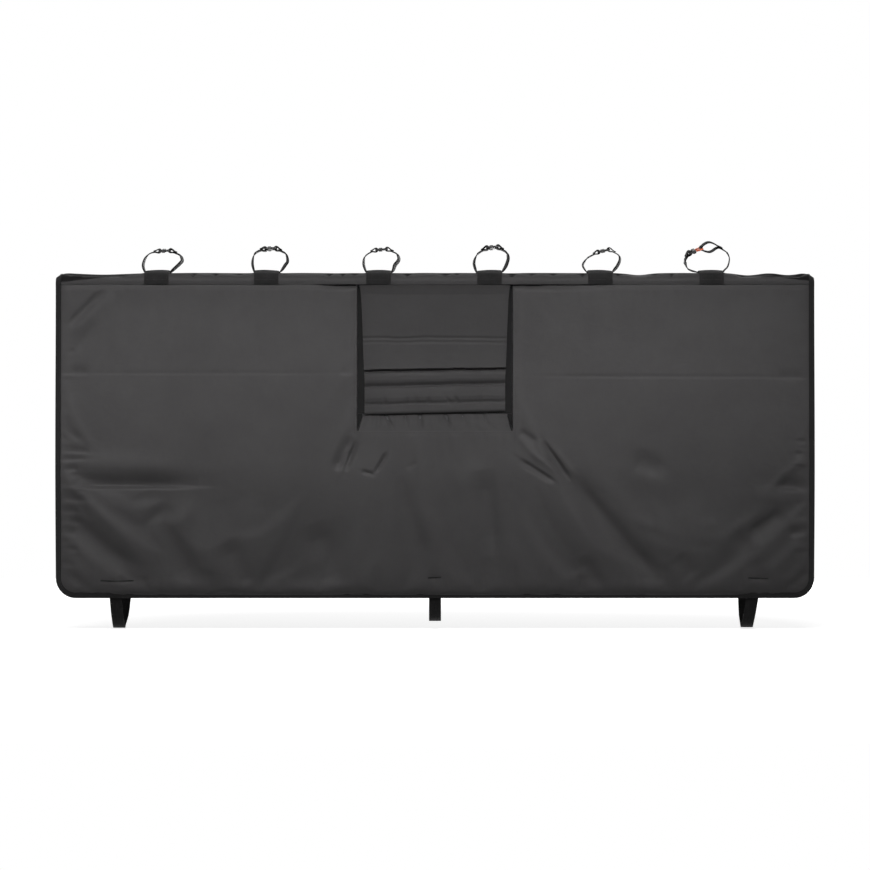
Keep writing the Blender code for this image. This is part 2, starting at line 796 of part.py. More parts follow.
def extruded(name, outline, depth):
    """A plan outline in x and y, thickened evenly about z = 0."""
    size = len(outline)
    points = [(x, y, -depth / 2) for x, y in outline] + [(x, y, depth / 2) for x, y in outline]
    faces = [tuple(reversed(range(size))), tuple(range(size, 2 * size))]
    for corner in range(size):
        beside = (corner + 1) % size
        faces.append((corner, beside, size + beside, size + corner))
    return add_mesh(name, points, faces)


def cut_box(obj, low, high):
    """Cuts a box out of the object, in the object's own axes."""
    size = [b - a for a, b in zip(low, high)]
    middle = [(a + b) / 2 for a, b in zip(low, high)]
    bpy.ops.mesh.primitive_cube_add(size=1)
    cutter = bpy.context.object
    cutter.name = f"{obj.name}_cutter"
    cutter.data.transform(Matrix.Translation(middle) @ Matrix.Diagonal((*size, 1)))
    cutter.parent = obj
    cutter.hide_render = True
    cutter.display_type = "WIRE"
    cut = obj.modifiers.new("cut", "BOOLEAN")
    cut.operation = "DIFFERENCE"
    cut.solver = "EXACT"
    cut.object = cutter


def place_on_bars(obj, bar, toward):
    """Puts a buckle piece with its bar's middle at the given point, pointing along toward."""
    direction = (toward - bar).normalized()
    obj.location = bar
    obj.rotation_euler = (0.0, -math.atan2(direction.z, direction.x), 0.0)


def socket_and_plug(index, socket_bar, plug_bar, plug_colour):
    """A side-release buckle: the socket round the plug's prongs, each with a bar for the webbing."""
    half = BUCKLE_WIDTH / 2
    span = (plug_bar - socket_bar).length
    slot_end = BUCKLE_BAR / 2 + BUCKLE_SLOT
    mouth = span - slot_end - BUCKLE_BAR - GAP
    plug_base = BUCKLE_BAR / 2 + BUCKLE_SLOT + BUCKLE_BAR
    arm = (BUCKLE_WIDTH - STRAP_WIDTH) / 2 - 0.0008

    chamfer = 0.002
    back = -BUCKLE_BAR / 2
    outline = [(back, -half + chamfer), (back + chamfer, -half), (mouth, -half)]
    outline += [(mouth, half), (back + chamfer, half), (back, half - chamfer)]
    socket = extruded(f"buckle_socket_{index}", outline, SOCKET_THICKNESS)
    cut_box(socket, (BUCKLE_BAR / 2, -half + arm, -0.01), (slot_end, half - arm, 0.01))
    tongue = PLUG_THICKNESS + 2 * GAP
    cavity = PRONG_LENGTH + 3 * GAP
    floor = mouth - cavity
    cut_box(socket, (floor, -half + 0.0025, -tongue / 2), (mouth + 0.01, half - 0.0025, tongue / 2))
    lip = SOCKET_THICKNESS / 2 - 0.0016
    cut_box(socket, (back - 0.01, -half - 0.01, lip), (slot_end - 0.001, half + 0.01, 0.01))
    cut_box(socket, (back - 0.01, -half - 0.01, -0.01), (slot_end - 0.001, half + 0.01, -lip))
    dress(socket, (0.018, 0.018, 0.019), 0.35)
    place_on_bars(socket, socket_bar, plug_bar)

    prong_edge = half - 0.0025 - GAP
    prong = prong_edge - PRONG_WIDTH
    tip = plug_base + PRONG_LENGTH
    outline = [(back, -half + chamfer), (back + chamfer, -half), (plug_base, -half)]
    outline += [(plug_base, -prong_edge), (tip - chamfer, -prong_edge), (tip, -prong_edge + chamfer)]
    outline += [(tip, -prong), (plug_base, -prong)]
    outline += [(x, -y) for x, y in reversed(outline)]
    plug = extruded(f"buckle_plug_{index}", outline, PLUG_THICKNESS)
    cut_box(plug, (BUCKLE_BAR / 2, -half + arm, -0.01), (slot_end, half - arm, 0.01))
    dress(plug, plug_colour, 0.4)
    place_on_bars(plug, plug_bar, socket_bar)


def bike_straps():
    for index, strap in BIKE_STRAPS.items():
        loose = index == LOOSE_STRAP
        strap_tab(index, strap["middle"] * MILLIMETRE)
        socket_bar, plug_bar = strap_path(strap)[2:]
        plug_colour = (0.85, 0.16, 0.07) if loose else (0.018, 0.018, 0.019)
        socket_and_plug(index, socket_bar, plug_bar, plug_colour)
        if loose:
            bike_strap(index, strap, LOOSE_LAP, LOOSE_BULGE)
        else:
            bike_strap(index, strap, PLUG_LAP, 0.0)


def rear_face():
    """Height of the bed side's outer face where the tailgate straps' buckles lie."""
    return HALF_CHANNEL + SHELL + REAR_CROWN + GAP


def ladder_buckle(side, middle, top):
    """Plastic frame with two slots: the anchor goes round its top bar and the strap round its middle."""
    half = LADDER_WIDTH / 2
    height = 3 * LADDER_BAR + 2 * LADDER_SLOT
    chamfer = 0.003
    outline = [(-half, -height / 2 + chamfer), (-half + chamfer, -height / 2), (half - chamfer, -height / 2)]
    outline += [(half, -height / 2 + chamfer), (half, height / 2 - chamfer), (half - chamfer, height / 2)]
    outline += [(-half + chamfer, height / 2), (-half, height / 2 - chamfer)]
    frame = extruded(f"ladder_buckle_{side}", outline, LADDER_THICKNESS)
    reach = TAILGATE_STRAP_WIDTH / 2 + 0.001
    first = height / 2 - LADDER_BAR
    second = first - LADDER_SLOT - LADDER_BAR
    for upper in (first, second):
        cut_box(frame, (-reach, upper - LADDER_SLOT, -0.01), (reach, upper, 0.01))
    dress(frame, (0.018, 0.018, 0.019), 0.35)
    y = rear_face() + WEBBING + GAP + LADDER_THICKNESS / 2
    frame.location = (middle, y, top - height / 2)
    frame.rotation_euler = (math.pi / 2, 0.0, 0.0)


def tailgate_strap(side, strap):
    """Webbing from the front's bottom edge, under the tailgate and up the bed side, through its buckle."""
    toward_middle = -strap["end"] * MILLIMETRE
    leaves = strap["end"] * (HALF_LENGTH - strap["inset"] * MILLIMETRE)
    swing_low = toward_middle * strap["swing_low"]
    swing_rear = toward_middle * strap["swing_rear"]
    edge = wrap(0.0, -FRONT_SPAN, -GAP - BINDING_THICKNESS - GAP - WEBBING / 2)
    sewn = wrap(0.0, -FRONT_SPAN + STRAP_LAP, -GAP - WEBBING / 2)
    knee = wrap(0.0, -FRONT_SPAN + RIM_WIDTH + 0.006, -GAP - BINDING_THICKNESS - GAP - WEBBING / 2)
    behind = rear_face() + WEBBING / 2
    outside = rear_face() + WEBBING + GAP + LADDER_THICKNESS + GAP + WEBBING / 2
    low = -FRONT_DROP - strap["hang"] * MILLIMETRE + WEBBING / 2
    top = -REAR_DROP + LADDER_RISE
    height = 3 * LADDER_BAR + 2 * LADDER_SLOT
    fold = top - LADDER_BAR - LADDER_SLOT + WEBBING / 2 + GAP
    centre = (edge.y + behind) / 2

    def at(swing, y, z):
        return Vector((leaves + swing, y, z))

    loop = smooth(
        [
            at(0.0, edge.y, edge.z),
            at(0.6 * swing_low, edge.y + LOOP_ROUND / 30, low + LOOP_ROUND),
            at(swing_low, edge.y + LOOP_ROUND / 2, low + LOOP_ROUND / 4),
            at(swing_low, centre, low),
            at(swing_low, behind - 0.6 * LOOP_ROUND, low + LOOP_ROUND / 5),
            at((swing_low + swing_rear) / 2, behind - LOOP_ROUND / 10, low + LOOP_ROUND),
            at(swing_rear, behind, low + 2.7 * LOOP_ROUND),
        ],
        3,
    )
    path = [at(0.0, sewn.y, sewn.z), at(0.0, knee.y, knee.z), *loop]
    path += [at(swing_rear, behind, -REAR_DROP), at(swing_rear, behind, fold)]
    path += [at(swing_rear, outside, fold), at(swing_rear, outside, top - height - LADDER_BAR)]
    path += [at(swing_rear, outside + TAIL_DRIFT / 2, fold - TAIL_LENGTH / 2)]
    path += [at(swing_rear, outside - TAIL_DRIFT, fold - TAIL_LENGTH)]
    webbing = ribbon(f"tailgate_strap_{side}", path, Vector((1, 0, 0)), TAILGATE_STRAP_WIDTH, WEBBING)
    dress(webbing, (0.014, 0.014, 0.015), 0.8)
    ladder_buckle(side, leaves + swing_rear, top)
    buckle_anchor(side, leaves + swing_rear, behind, outside, top)


def buckle_anchor(side, middle, behind, outside, top):
    """Short webbing sewn to the bed side and folded round the buckle's top bar."""
    under = top - LADDER_BAR - GAP - WEBBING / 2
    end = top + ANCHOR_LENGTH
    doubled = behind + WEBBING + GAP
    path = [(behind, end), (behind, under), (outside, under), (outside, top + GAP)]
    path += [(doubled, top + ANCHOR_LENGTH / 4), (doubled, top + 2 * ANCHOR_LENGTH / 3)]
    points = [Vector((middle, y, z)) for y, z in path]
    anchor = ribbon(f"buckle_anchor_{side}", points, Vector((1, 0, 0)), TAILGATE_STRAP_WIDTH, WEBBING)
    dress(anchor, (0.014, 0.014, 0.015), 0.8)


def clear_scene():
    for obj in list(bpy.data.objects):
        bpy.data.objects.remove(obj, do_unlink=True)


clear_scene()
lining()
front_foam()
top_foam()
rear_foam()
front_panel()
top_panel()
rear_panel()
window_facing()
sill_flange()
access_flap()
flap_tapes()
edge_binding()
bike_straps()
for side_name, side_strap in TAILGATE_STRAPS.items():
    tailgate_strap(side_name, side_strap)
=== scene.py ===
"""Looks of a tailgate bike pad: a padded cover over a pickup tailgate, its flap, straps and buckles."""

import math

import bmesh
import bpy
import numpy as np
from mathutils import Matrix, Vector, noise


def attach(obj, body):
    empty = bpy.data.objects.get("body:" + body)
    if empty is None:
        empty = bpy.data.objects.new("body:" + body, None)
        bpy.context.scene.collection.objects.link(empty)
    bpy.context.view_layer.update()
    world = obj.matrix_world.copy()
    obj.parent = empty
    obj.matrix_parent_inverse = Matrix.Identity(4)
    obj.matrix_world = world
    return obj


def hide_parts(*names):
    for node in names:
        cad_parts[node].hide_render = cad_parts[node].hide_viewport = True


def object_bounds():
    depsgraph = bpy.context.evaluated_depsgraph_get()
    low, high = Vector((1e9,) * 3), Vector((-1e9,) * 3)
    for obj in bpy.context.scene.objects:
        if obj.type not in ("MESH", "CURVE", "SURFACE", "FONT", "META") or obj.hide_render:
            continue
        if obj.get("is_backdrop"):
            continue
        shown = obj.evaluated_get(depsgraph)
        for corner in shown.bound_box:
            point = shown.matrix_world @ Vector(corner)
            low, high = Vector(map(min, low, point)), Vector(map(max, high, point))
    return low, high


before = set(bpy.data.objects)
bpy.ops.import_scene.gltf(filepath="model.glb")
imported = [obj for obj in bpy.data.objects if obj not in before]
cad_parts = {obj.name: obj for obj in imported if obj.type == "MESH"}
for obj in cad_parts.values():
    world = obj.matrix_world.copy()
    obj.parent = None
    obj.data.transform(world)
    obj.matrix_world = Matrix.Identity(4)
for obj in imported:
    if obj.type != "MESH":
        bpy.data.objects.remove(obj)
cad_low, cad_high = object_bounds()


# The camera stands level and square to the front face, as for a catalogue picture. The picture's 870
# pixels span 1.772 m at the front face.
camera = bpy.data.objects.new("camera", bpy.data.cameras.new("camera"))
bpy.context.scene.collection.objects.link(camera)
bpy.context.scene.camera = camera
camera_distance = 9.0
camera_height = -0.317
front_face = -0.055
picture_width = 1.772
camera.data.sensor_width = 36.0
camera.data.lens = camera.data.sensor_width * camera_distance / picture_width
camera.location = (0.0, front_face - camera_distance, camera_height)
camera.rotation_euler = (math.pi / 2, 0.0, 0.0)


# The studio: a pale floor just under the hanging straps, a wide soft lamp above and in front, a weaker
# one on each side, and one low behind. What the camera sees behind the pad is plain white.
def node_of(tree, kind, **settings):
    """A new node with some of its settings and input values given by name."""
    node = tree.nodes.new(kind)
    for key, value in settings.items():
        if hasattr(node, key):
            setattr(node, key, value)
        else:
            node.inputs[key.replace("_", " ")].default_value = value
    return node


def wire(tree, *links):
    """Links nodes, each link given as a node, its output, the next node and that node's input."""
    for source, output, target, entry in links:
        tree.links.new(source.outputs[output], target.inputs[entry])


def seen_directly(tree):
    """A socket that is 1 for rays from the camera, a mirror or glass."""
    path = node_of(tree, "ShaderNodeLightPath")
    first = node_of(tree, "ShaderNodeMath", operation="MAXIMUM")
    both = node_of(tree, "ShaderNodeMath", operation="MAXIMUM")
    wire(
        tree,
        (path, "Is Camera Ray", first, 0),
        (path, "Is Glossy Ray", first, 1),
        (first, 0, both, 0),
        (path, "Is Transmission Ray", both, 1),
    )
    return both.outputs[0]


studio = bpy.data.worlds.new("studio")
bpy.context.scene.world = studio
studio.use_nodes = True
tree = studio.node_tree
tree.nodes.clear()
room = node_of(tree, "ShaderNodeBackground", Color=(1.0, 1.0, 1.0, 1.0), Strength=0.10)
backdrop = node_of(tree, "ShaderNodeBackground", Color=(1.0, 1.0, 1.0, 1.0), Strength=1.0)
either = node_of(tree, "ShaderNodeMixShader")
sky = node_of(tree, "ShaderNodeOutputWorld")
tree.links.new(seen_directly(tree), either.inputs[0])
wire(
    tree,
    (room, 0, either, 1),
    (backdrop, 0, either, 2),
    (either, 0, sky, "Surface"),
)

for name, place, aim, width, height, spread, power in (
    ("key_lamp", (-0.34, -1.30, 0.58), (-0.34, 0.0, -0.29), 2.5, 0.24, 54.0, 5.1),
    ("left_lamp", (-3.4, -1.8, 1.0), (0.0, 0.0, -0.3), 1.8, 1.8, 180.0, 3.0),
    ("right_lamp", (3.4, -1.8, 1.0), (0.0, 0.0, -0.3), 1.8, 1.8, 180.0, 1.2),
    ("back_lamp", (0.6, 3.0, -0.15), (0.0, 0.0, -0.3), 2.2, 0.9, 180.0, 42.0),
):
    lamp = bpy.data.objects.new(name, bpy.data.lights.new(name, "AREA"))
    bpy.context.scene.collection.objects.link(lamp)
    lamp.data.shape = "RECTANGLE"
    lamp.data.size = width
    lamp.data.size_y = height
    lamp.data.spread = math.radians(spread)
    lamp.data.energy = power
    lamp.location = place
    lamp.rotation_euler = (Vector(aim) - Vector(place)).to_track_quat("-Z", "Y").to_euler()

floor_level = cad_low.z - 0.002
floor_mesh = bpy.data.meshes.new("floor")
floor_reach = 3.4
floor_rim = [
    (floor_reach * math.cos(turn), floor_reach * math.sin(turn), floor_level)
    for turn in np.linspace(0.0, 2 * math.pi, 96, endpoint=False)
]
floor_mesh.from_pydata(floor_rim, [], [tuple(range(len(floor_rim)))])
floor = bpy.data.objects.new("floor", floor_mesh)
bpy.context.scene.collection.objects.link(floor)
floor_paint = bpy.data.materials.new("pale floor")
floor_paint.use_nodes = True
tree = floor_paint.node_tree
tree.nodes.clear()
matt = node_of(tree, "ShaderNodeBsdfDiffuse")
shown = node_of(tree, "ShaderNodeMapRange", To_Min=0.30, To_Max=0.82)
near_glow = 0.76
ground = node_of(tree, "ShaderNodeTexCoord")
reach = node_of(tree, "ShaderNodeVectorMath", operation="LENGTH")
outward = node_of(tree, "ShaderNodeMapRange", From_Min=1.1, From_Max=1.8, To_Min=near_glow, To_Max=1.0)
parts = node_of(tree, "ShaderNodeSeparateXYZ")
forward = node_of(tree, "ShaderNodeMapRange", From_Min=-0.02, From_Max=-0.30, To_Min=near_glow, To_Max=1.0)
whiter = node_of(tree, "ShaderNodeMath", operation="MAXIMUM")
lit = node_of(tree, "ShaderNodeMath", operation="MULTIPLY")
glow = node_of(tree, "ShaderNodeEmission", Color=(1.0, 1.0, 1.0, 1.0))
together = node_of(tree, "ShaderNodeAddShader")
surface = node_of(tree, "ShaderNodeOutputMaterial")
directly = seen_directly(tree)
tree.links.new(directly, shown.inputs["Value"])
tree.links.new(directly, lit.inputs[0])
wire(
    tree,
    (ground, "Object", reach, 0),
    (reach, "Value", outward, "Value"),
    (ground, "Object", parts, 0),
    (parts, "Y", forward, "Value"),
    (outward, "Result", whiter, 0),
    (forward, "Result", whiter, 1),
    (whiter, 0, lit, 1),
    (shown, "Result", matt, "Color"),
    (lit, 0, glow, "Strength"),
    (matt, 0, together, 0),
    (glow, 0, together, 1),
    (together, 0, surface, "Surface"),
)
floor_mesh.materials.append(floor_paint)
floor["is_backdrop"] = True


# Lining: one sheet of soft grey knit against the tailgate's paint. It is cut with the window's hole,
# laid over the tailgate from the front hem to the bed side's hem, and bound in with the other layers.
half_length = 0.7737
corner_radius = 0.040
half_channel = 0.033
edge_radius = 0.009
half_flat = half_channel - edge_radius
bend_span = edge_radius * math.pi / 2
bend_end = half_flat + bend_span
gap = 0.0003
lining_thickness = 0.0012
foam_thickness = 0.0120
cloth_thickness = 0.0012
foam_base = lining_thickness + gap
shell = foam_base + foam_thickness + gap + cloth_thickness
rim_width = 0.012
rim_ramp_end = 0.021
rim_step = 0.0013


def span_at(z):
    """Length over the wrap from the middle of the top down to height z."""
    return bend_end - edge_radius - z


hem_level = -0.6497
rear_hem_level = -0.300
front_span = span_at(hem_level)
rear_span = span_at(rear_hem_level)
seam_span = span_at(-0.010)
belly_span = span_at(-0.380)
belly_depth = 0.012
hem_tuck = 0.018
window_left, window_right = -0.1595, 0.1590
window_depth = 0.2985
sill_depth = 0.035
window_span = seam_span + window_depth
sill_top = window_span - sill_depth


def ramp(value):
    """The value, held between 0 and 1."""
    return np.clip(value, 0.0, 1.0)


def stand_off(s):
    """How far the hanging front stands off the tailgate: out to the belly, then tucked in below it."""
    share = ramp((-s - bend_end) / (belly_span - bend_end))
    low = ramp((-s - belly_span) / (front_span - belly_span))
    return belly_depth * (0.5 - 0.5 * np.cos(math.pi * share)) - hem_tuck * low**1.5


def wrapped(x, s, n):
    """Points at x across, a length s over the tailgate and a height n above it, in the last axis."""
    x, s, n = np.broadcast_arrays(x, s, n)
    span = np.abs(s)
    turn = np.clip((span - half_flat) / edge_radius, 0.0, math.pi / 2)
    drop = np.maximum(span - bend_end, 0.0)
    y = np.minimum(span, half_flat) + (edge_radius + n) * np.sin(turn) + stand_off(s)
    z = -edge_radius + (edge_radius + n) * np.cos(turn) - drop
    return np.stack([x, np.where(s > 0, y, -y), z], axis=-1)


def narrowed(x, s, inset=0.0):
    """x drawn in where the bottom corners are round, on an outline inset all round."""
    radius = corner_radius - inset
    from_bottom = np.where(s > 0, rear_span, front_span) - inset - np.abs(s)
    in_corner = np.clip(radius - from_bottom, 0.0, radius)
    half = half_length - inset
    return x * (half - radius + np.sqrt(radius**2 - in_corner**2)) / half


def ruled(stops, pitch):
    """Lines at about the pitch, evenly spaced between stops and with a line on each stop."""
    lines = [np.array([stops[0]])]
    for start, end in zip(stops, stops[1:]):
        count = max(1, round(abs(end - start) / pitch))
        lines.append(np.linspace(start, end, count + 1)[1:])
    return np.concatenate(lines)


def hem_lines(span, inset=0.0, count=12):
    """Lines along s through the round bottom corners, from the hem up."""
    turns = np.linspace(0.0, math.pi / 2, count + 1)
    return span - inset - (corner_radius - inset) * (1 - np.cos(turns))


def add_piece(name, points, faces, uvs):
    """A smooth mesh of quads or triangles, turned to face outwards, with a UV map in metres."""
    mesh = bpy.data.meshes.new(name)
    points = np.asarray(points, float).reshape(-1, 3)
    faces = np.asarray(faces, int)
    used, inverse = np.unique(faces, return_inverse=True)
    points = points[used]
    uvs = np.asarray(uvs, float).reshape(-1, 2)[used]
    faces = inverse.reshape(faces.shape)
    corners = points[faces]
    fan = [np.cross(corners[:, k], corners[:, k + 1]) for k in range(1, faces.shape[1] - 1)]
    if sum(np.sum(corners[:, 0] * part) for part in fan) < 0:
        faces = faces[:, ::-1]
    mesh.from_pydata(points.tolist(), [], faces.tolist())
    layer = mesh.uv_layers.new(name="cloth")
    corner_of = np.empty(len(mesh.loops), int)
    mesh.loops.foreach_get("vertex_index", corner_of)
    layer.data.foreach_set("uv", uvs[corner_of].ravel())
    mesh.shade_smooth()
    mesh.set_sharp_from_angle(angle=math.radians(50))
    piece = bpy.data.objects.new(name, mesh)
    bpy.context.scene.collection.objects.link(piece)
    return piece


def grid_quads(across, along, is_cut=None):
    """Quads over a grid of lines, without the ones whose middles are cut away."""
    index = np.arange(len(along) * len(across)).reshape(len(along), len(across))
    quads = np.stack([index[:-1, :-1], index[:-1, 1:], index[1:, 1:], index[1:, :-1]], axis=-1)
    if is_cut is not None:
        middle_x, middle_s = np.meshgrid((across[:-1] + across[1:]) / 2, (along[:-1] + along[1:]) / 2)
        quads = quads[~is_cut(middle_x, middle_s)]
    return quads.reshape(-1, 4)


def double_skin(name, across, along, outer, inner, is_cut=None):
    """A closed body between two surfaces over one grid, outer and inner having a point per line pair."""
    quads = grid_quads(across, along, is_cut)
    total = len(along) * len(across)
    sides = np.concatenate([quads[:, [k, (k + 1) % 4]] for k in range(4)])
    open_sides = sides[~np.isin(sides[:, 0] * total + sides[:, 1], sides[:, 1] * total + sides[:, 0])]
    walls = np.stack(
        [open_sides[:, 1], open_sides[:, 0], open_sides[:, 0] + total, open_sides[:, 1] + total], axis=-1
    )
    faces = np.concatenate([quads, quads[:, ::-1] + total, walls])
    points = np.concatenate([outer.reshape(-1, 3), inner.reshape(-1, 3)])
    grid = np.stack(np.meshgrid(across, along), axis=-1).reshape(-1, 2)
    return add_piece(name, points, faces, np.concatenate([grid, grid]))


def fit(piece, material, slot, *nodes):
    """Gives a piece its material and its CAD body, in place of the CAD nodes named; its slot is not used."""
    piece.data.materials.clear()
    piece.data.materials.append(material)
    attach(piece, "root")
    if nodes:
        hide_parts(*nodes)


def group_of(name, inputs, outputs):
    """A new shader group with named float, vector or colour sockets."""
    group = bpy.data.node_groups.new(name, "ShaderNodeTree")
    for socket, kind, value in inputs:
        made = group.interface.new_socket(socket, in_out="INPUT", socket_type=f"NodeSocket{kind}")
        if value is not None:
            made.default_value = value
    for socket, kind in outputs:
        group.interface.new_socket(socket, in_out="OUTPUT", socket_type=f"NodeSocket{kind}")
    return group, group.nodes.new("NodeGroupInput"), group.nodes.new("NodeGroupOutput")


def plain_weave():
    """Over-and-under threads: height of the cloth, and a shade that differs from thread to thread."""
    inputs = [("Position", "Vector", None), ("Threads", "Float", 1000.0), ("Slub", "Float", 0.3)]
    group, entry, leave = group_of("plain weave", inputs, [("Height", "Float"), ("Shade", "Float")])
    scaled = node_of(group, "ShaderNodeVectorMath", operation="SCALE")
    parts = node_of(group, "ShaderNodeSeparateXYZ")
    over = node_of(group, "ShaderNodeMath", operation="MULTIPLY")
    slubs = node_of(group, "ShaderNodeMath", operation="ADD")
    height = node_of(group, "ShaderNodeMath", operation="MULTIPLY_ADD")
    for side, (axis, stretch) in enumerate((("X", (1.0, 0.04, 1.0)), ("Y", (0.04, 1.0, 1.0)))):
        turn = node_of(group, "ShaderNodeMath", operation="MULTIPLY")
        turn.inputs[1].default_value = math.pi
        wave = node_of(group, "ShaderNodeMath", operation="SINE")
        drawn = node_of(group, "ShaderNodeVectorMath", operation="MULTIPLY")
        drawn.inputs[1].default_value = stretch
        yarn = node_of(group, "ShaderNodeTexNoise", Scale=1.0, Detail=1.0)
        wire(
            group,
            (parts, axis, turn, 0),
            (turn, 0, wave, 0),
            (wave, 0, over, side),
            (scaled, 0, drawn, 0),
            (drawn, 0, yarn, "Vector"),
            (yarn, "Fac", slubs, side),
        )
    wire(
        group,
        (entry, "Position", scaled, 0),
        (entry, "Threads", scaled, "Scale"),
        (scaled, 0, parts, 0),
        (slubs, 0, height, 0),
        (entry, "Slub", height, 1),
        (over, 0, height, 2),
        (height, 0, leave, "Height"),
        (slubs, 0, leave, "Shade"),
    )
    return group


def handled():
    """Cloth that has been packed and handled: soft cloudy shades and small dents."""
    inputs = [("Position", "Vector", None), ("Size", "Float", 9.0)]
    group, entry, leave = group_of("handled cloth", inputs, [("Cloud", "Float"), ("Dents", "Float")])
    cloud = node_of(group, "ShaderNodeTexNoise", Detail=4.0, Roughness=0.6)
    finer = node_of(group, "ShaderNodeMath", operation="MULTIPLY")
    finer.inputs[1].default_value = 4.5
    dents = node_of(group, "ShaderNodeTexNoise", Detail=3.0, Roughness=0.5, Distortion=1.2)
    wire(
        group,
        (entry, "Position", cloud, "Vector"),
        (entry, "Size", cloud, "Scale"),
        (entry, "Size", finer, 0),
        (entry, "Position", dents, "Vector"),
        (finer, 0, dents, "Scale"),
        (cloud, "Fac", leave, "Cloud"),
        (dents, "Fac", leave, "Dents"),
    )
    return group


weave_group = plain_weave()
handled_group = handled()


def new_finish(name, **values):
    """A new material, its tree, its shader with the values given, and its texture coordinates."""
    made = bpy.data.materials.new(name)
    made.use_nodes = True
    tree = made.node_tree
    shader = tree.nodes["Principled BSDF"]
    for key, value in values.items():
        shader.inputs[key.replace("_", " ")].default_value = value
    return made, tree, shader, node_of(tree, "ShaderNodeTexCoord")


def shaded(tree, shader, share, dark, light):
    """Colours the shader between a dark and a light colour, by the share that a socket gives."""
    colour = node_of(tree, "ShaderNodeMix", data_type="RGBA")
    colour.inputs[6].default_value = (*dark, 1.0)
    colour.inputs[7].default_value = (*light, 1.0)
    tree.links.new(share, colour.inputs[0])
    tree.links.new(colour.outputs[2], shader.inputs["Base Color"])


def cloth_material(name, dark, light, threads, depth, dents, roughness, sheen):
    """Woven cloth with its threads on the UV map, shaded between a dark and a light colour."""
    cloth, tree, shader, where = new_finish(
        name, Roughness=roughness, Specular_IOR_Level=0.12, Sheen_Weight=sheen, Sheen_Roughness=0.45
    )
    weave = node_of(tree, "ShaderNodeGroup", node_tree=weave_group, Threads=threads)
    worn = node_of(tree, "ShaderNodeGroup", node_tree=handled_group)
    shade = node_of(tree, "ShaderNodeMath", operation="MULTIPLY_ADD")
    shade.inputs[1].default_value = 0.22
    spread = node_of(tree, "ShaderNodeMapRange", From_Min=0.45, From_Max=0.95)
    threads_bump = node_of(tree, "ShaderNodeBump", Strength=0.5, Distance=depth)
    dents_bump = node_of(tree, "ShaderNodeBump", Strength=0.5, Distance=dents)
    wire(
        tree,
        (where, "UV", weave, "Position"),
        (where, "Object", worn, "Position"),
        (weave, "Shade", shade, 0),
        (worn, "Cloud", shade, 2),
        (shade, 0, spread, "Value"),
        (weave, "Height", threads_bump, "Height"),
        (worn, "Dents", dents_bump, "Height"),
        (dents_bump, "Normal", threads_bump, "Normal"),
        (threads_bump, "Normal", shader, "Normal"),
    )
    shaded(tree, shader, spread.outputs["Result"], dark, light)
    return cloth


lining_cloth = cloth_material(
    "grey lining knit", (0.070, 0.070, 0.074), (0.105, 0.105, 0.110), 700.0, 0.0002, 0.001, 0.95, 0.1
)
lining_margin = 0.002
lining_left = window_left + lining_margin
lining_right = window_right - lining_margin
across = ruled(
    [-half_length, -half_length + rim_width, -half_length + rim_ramp_end, lining_left, lining_right]
    + [half_length - rim_ramp_end, half_length - rim_width, half_length],
    0.012,
)
along = np.concatenate(
    [
        -hem_lines(front_span),
        ruled([-front_span + corner_radius, -sill_top, -seam_span, -bend_end], 0.012)[1:],
        ruled([-bend_end, -half_flat, half_flat, bend_end], 0.003)[1:],
        ruled([bend_end, seam_span, rear_span - corner_radius], 0.012)[1:],
        hem_lines(rear_span)[::-1][1:],
    ]
)


def near_seam(s):
    """1 over the band and at its seams, falling to 0 over a rim's width below them."""
    return ramp(1 - (np.abs(s) - seam_span) / rim_width)


def pressed_rim(x, s):
    """How far the bound ends are pressed up over the top, so that the binding lies flush there."""
    from_side = half_length - np.abs(x)
    return rim_step * near_seam(s) * ramp((rim_ramp_end - from_side) / (rim_ramp_end - rim_width))


grid_x, grid_s = np.meshgrid(across, along)
lift = pressed_rim(grid_x, grid_s)
lining = double_skin(
    "lining_sheet",
    across,
    along,
    wrapped(narrowed(grid_x, grid_s), grid_s, lift + lining_thickness),
    wrapped(narrowed(grid_x, grid_s), grid_s, lift),
    lambda x, s: (s < -seam_span) & (s > -sill_top) & (x > lining_left) & (x < lining_right),
)
fit(lining, lining_cloth, "lining_fabric", "lining")


# Front cover: coated polyester over a foam sheet, cut to the window and bound at its edges. It swells
# a little between its seams, sags to a belly, and keeps the folds that it was packed with.
rim_height = 0.0028
rim_shoulder = 0.030
front_crown, rear_crown, crown_reach = 0.004, 0.0015, 0.10
window_press, window_press_reach, seam_press = 0.002, 0.012, 0.0015


def rounding(distance, reach):
    """Rises from 0 at an edge to 1 at the given reach, as a quarter circle."""
    share = ramp(distance / reach)
    return np.sqrt(1 - (1 - share) ** 2)


def bell(distance, reach):
    """1 at no distance, and next to nothing past twice the reach."""
    return np.exp(-((distance / reach) ** 2))


def bottom_distance(s):
    """Distance up from the hem."""
    return np.where(s > 0, rear_span, front_span) - np.abs(s)


def from_edge(x, s):
    """Distance from the pad's outline, which has rounded bottom corners."""
    side = half_length - np.abs(x)
    bottom = bottom_distance(s)
    corner = corner_radius - np.hypot(corner_radius - side, corner_radius - bottom)
    return np.where((side < corner_radius) & (bottom < corner_radius), corner, np.minimum(side, bottom))


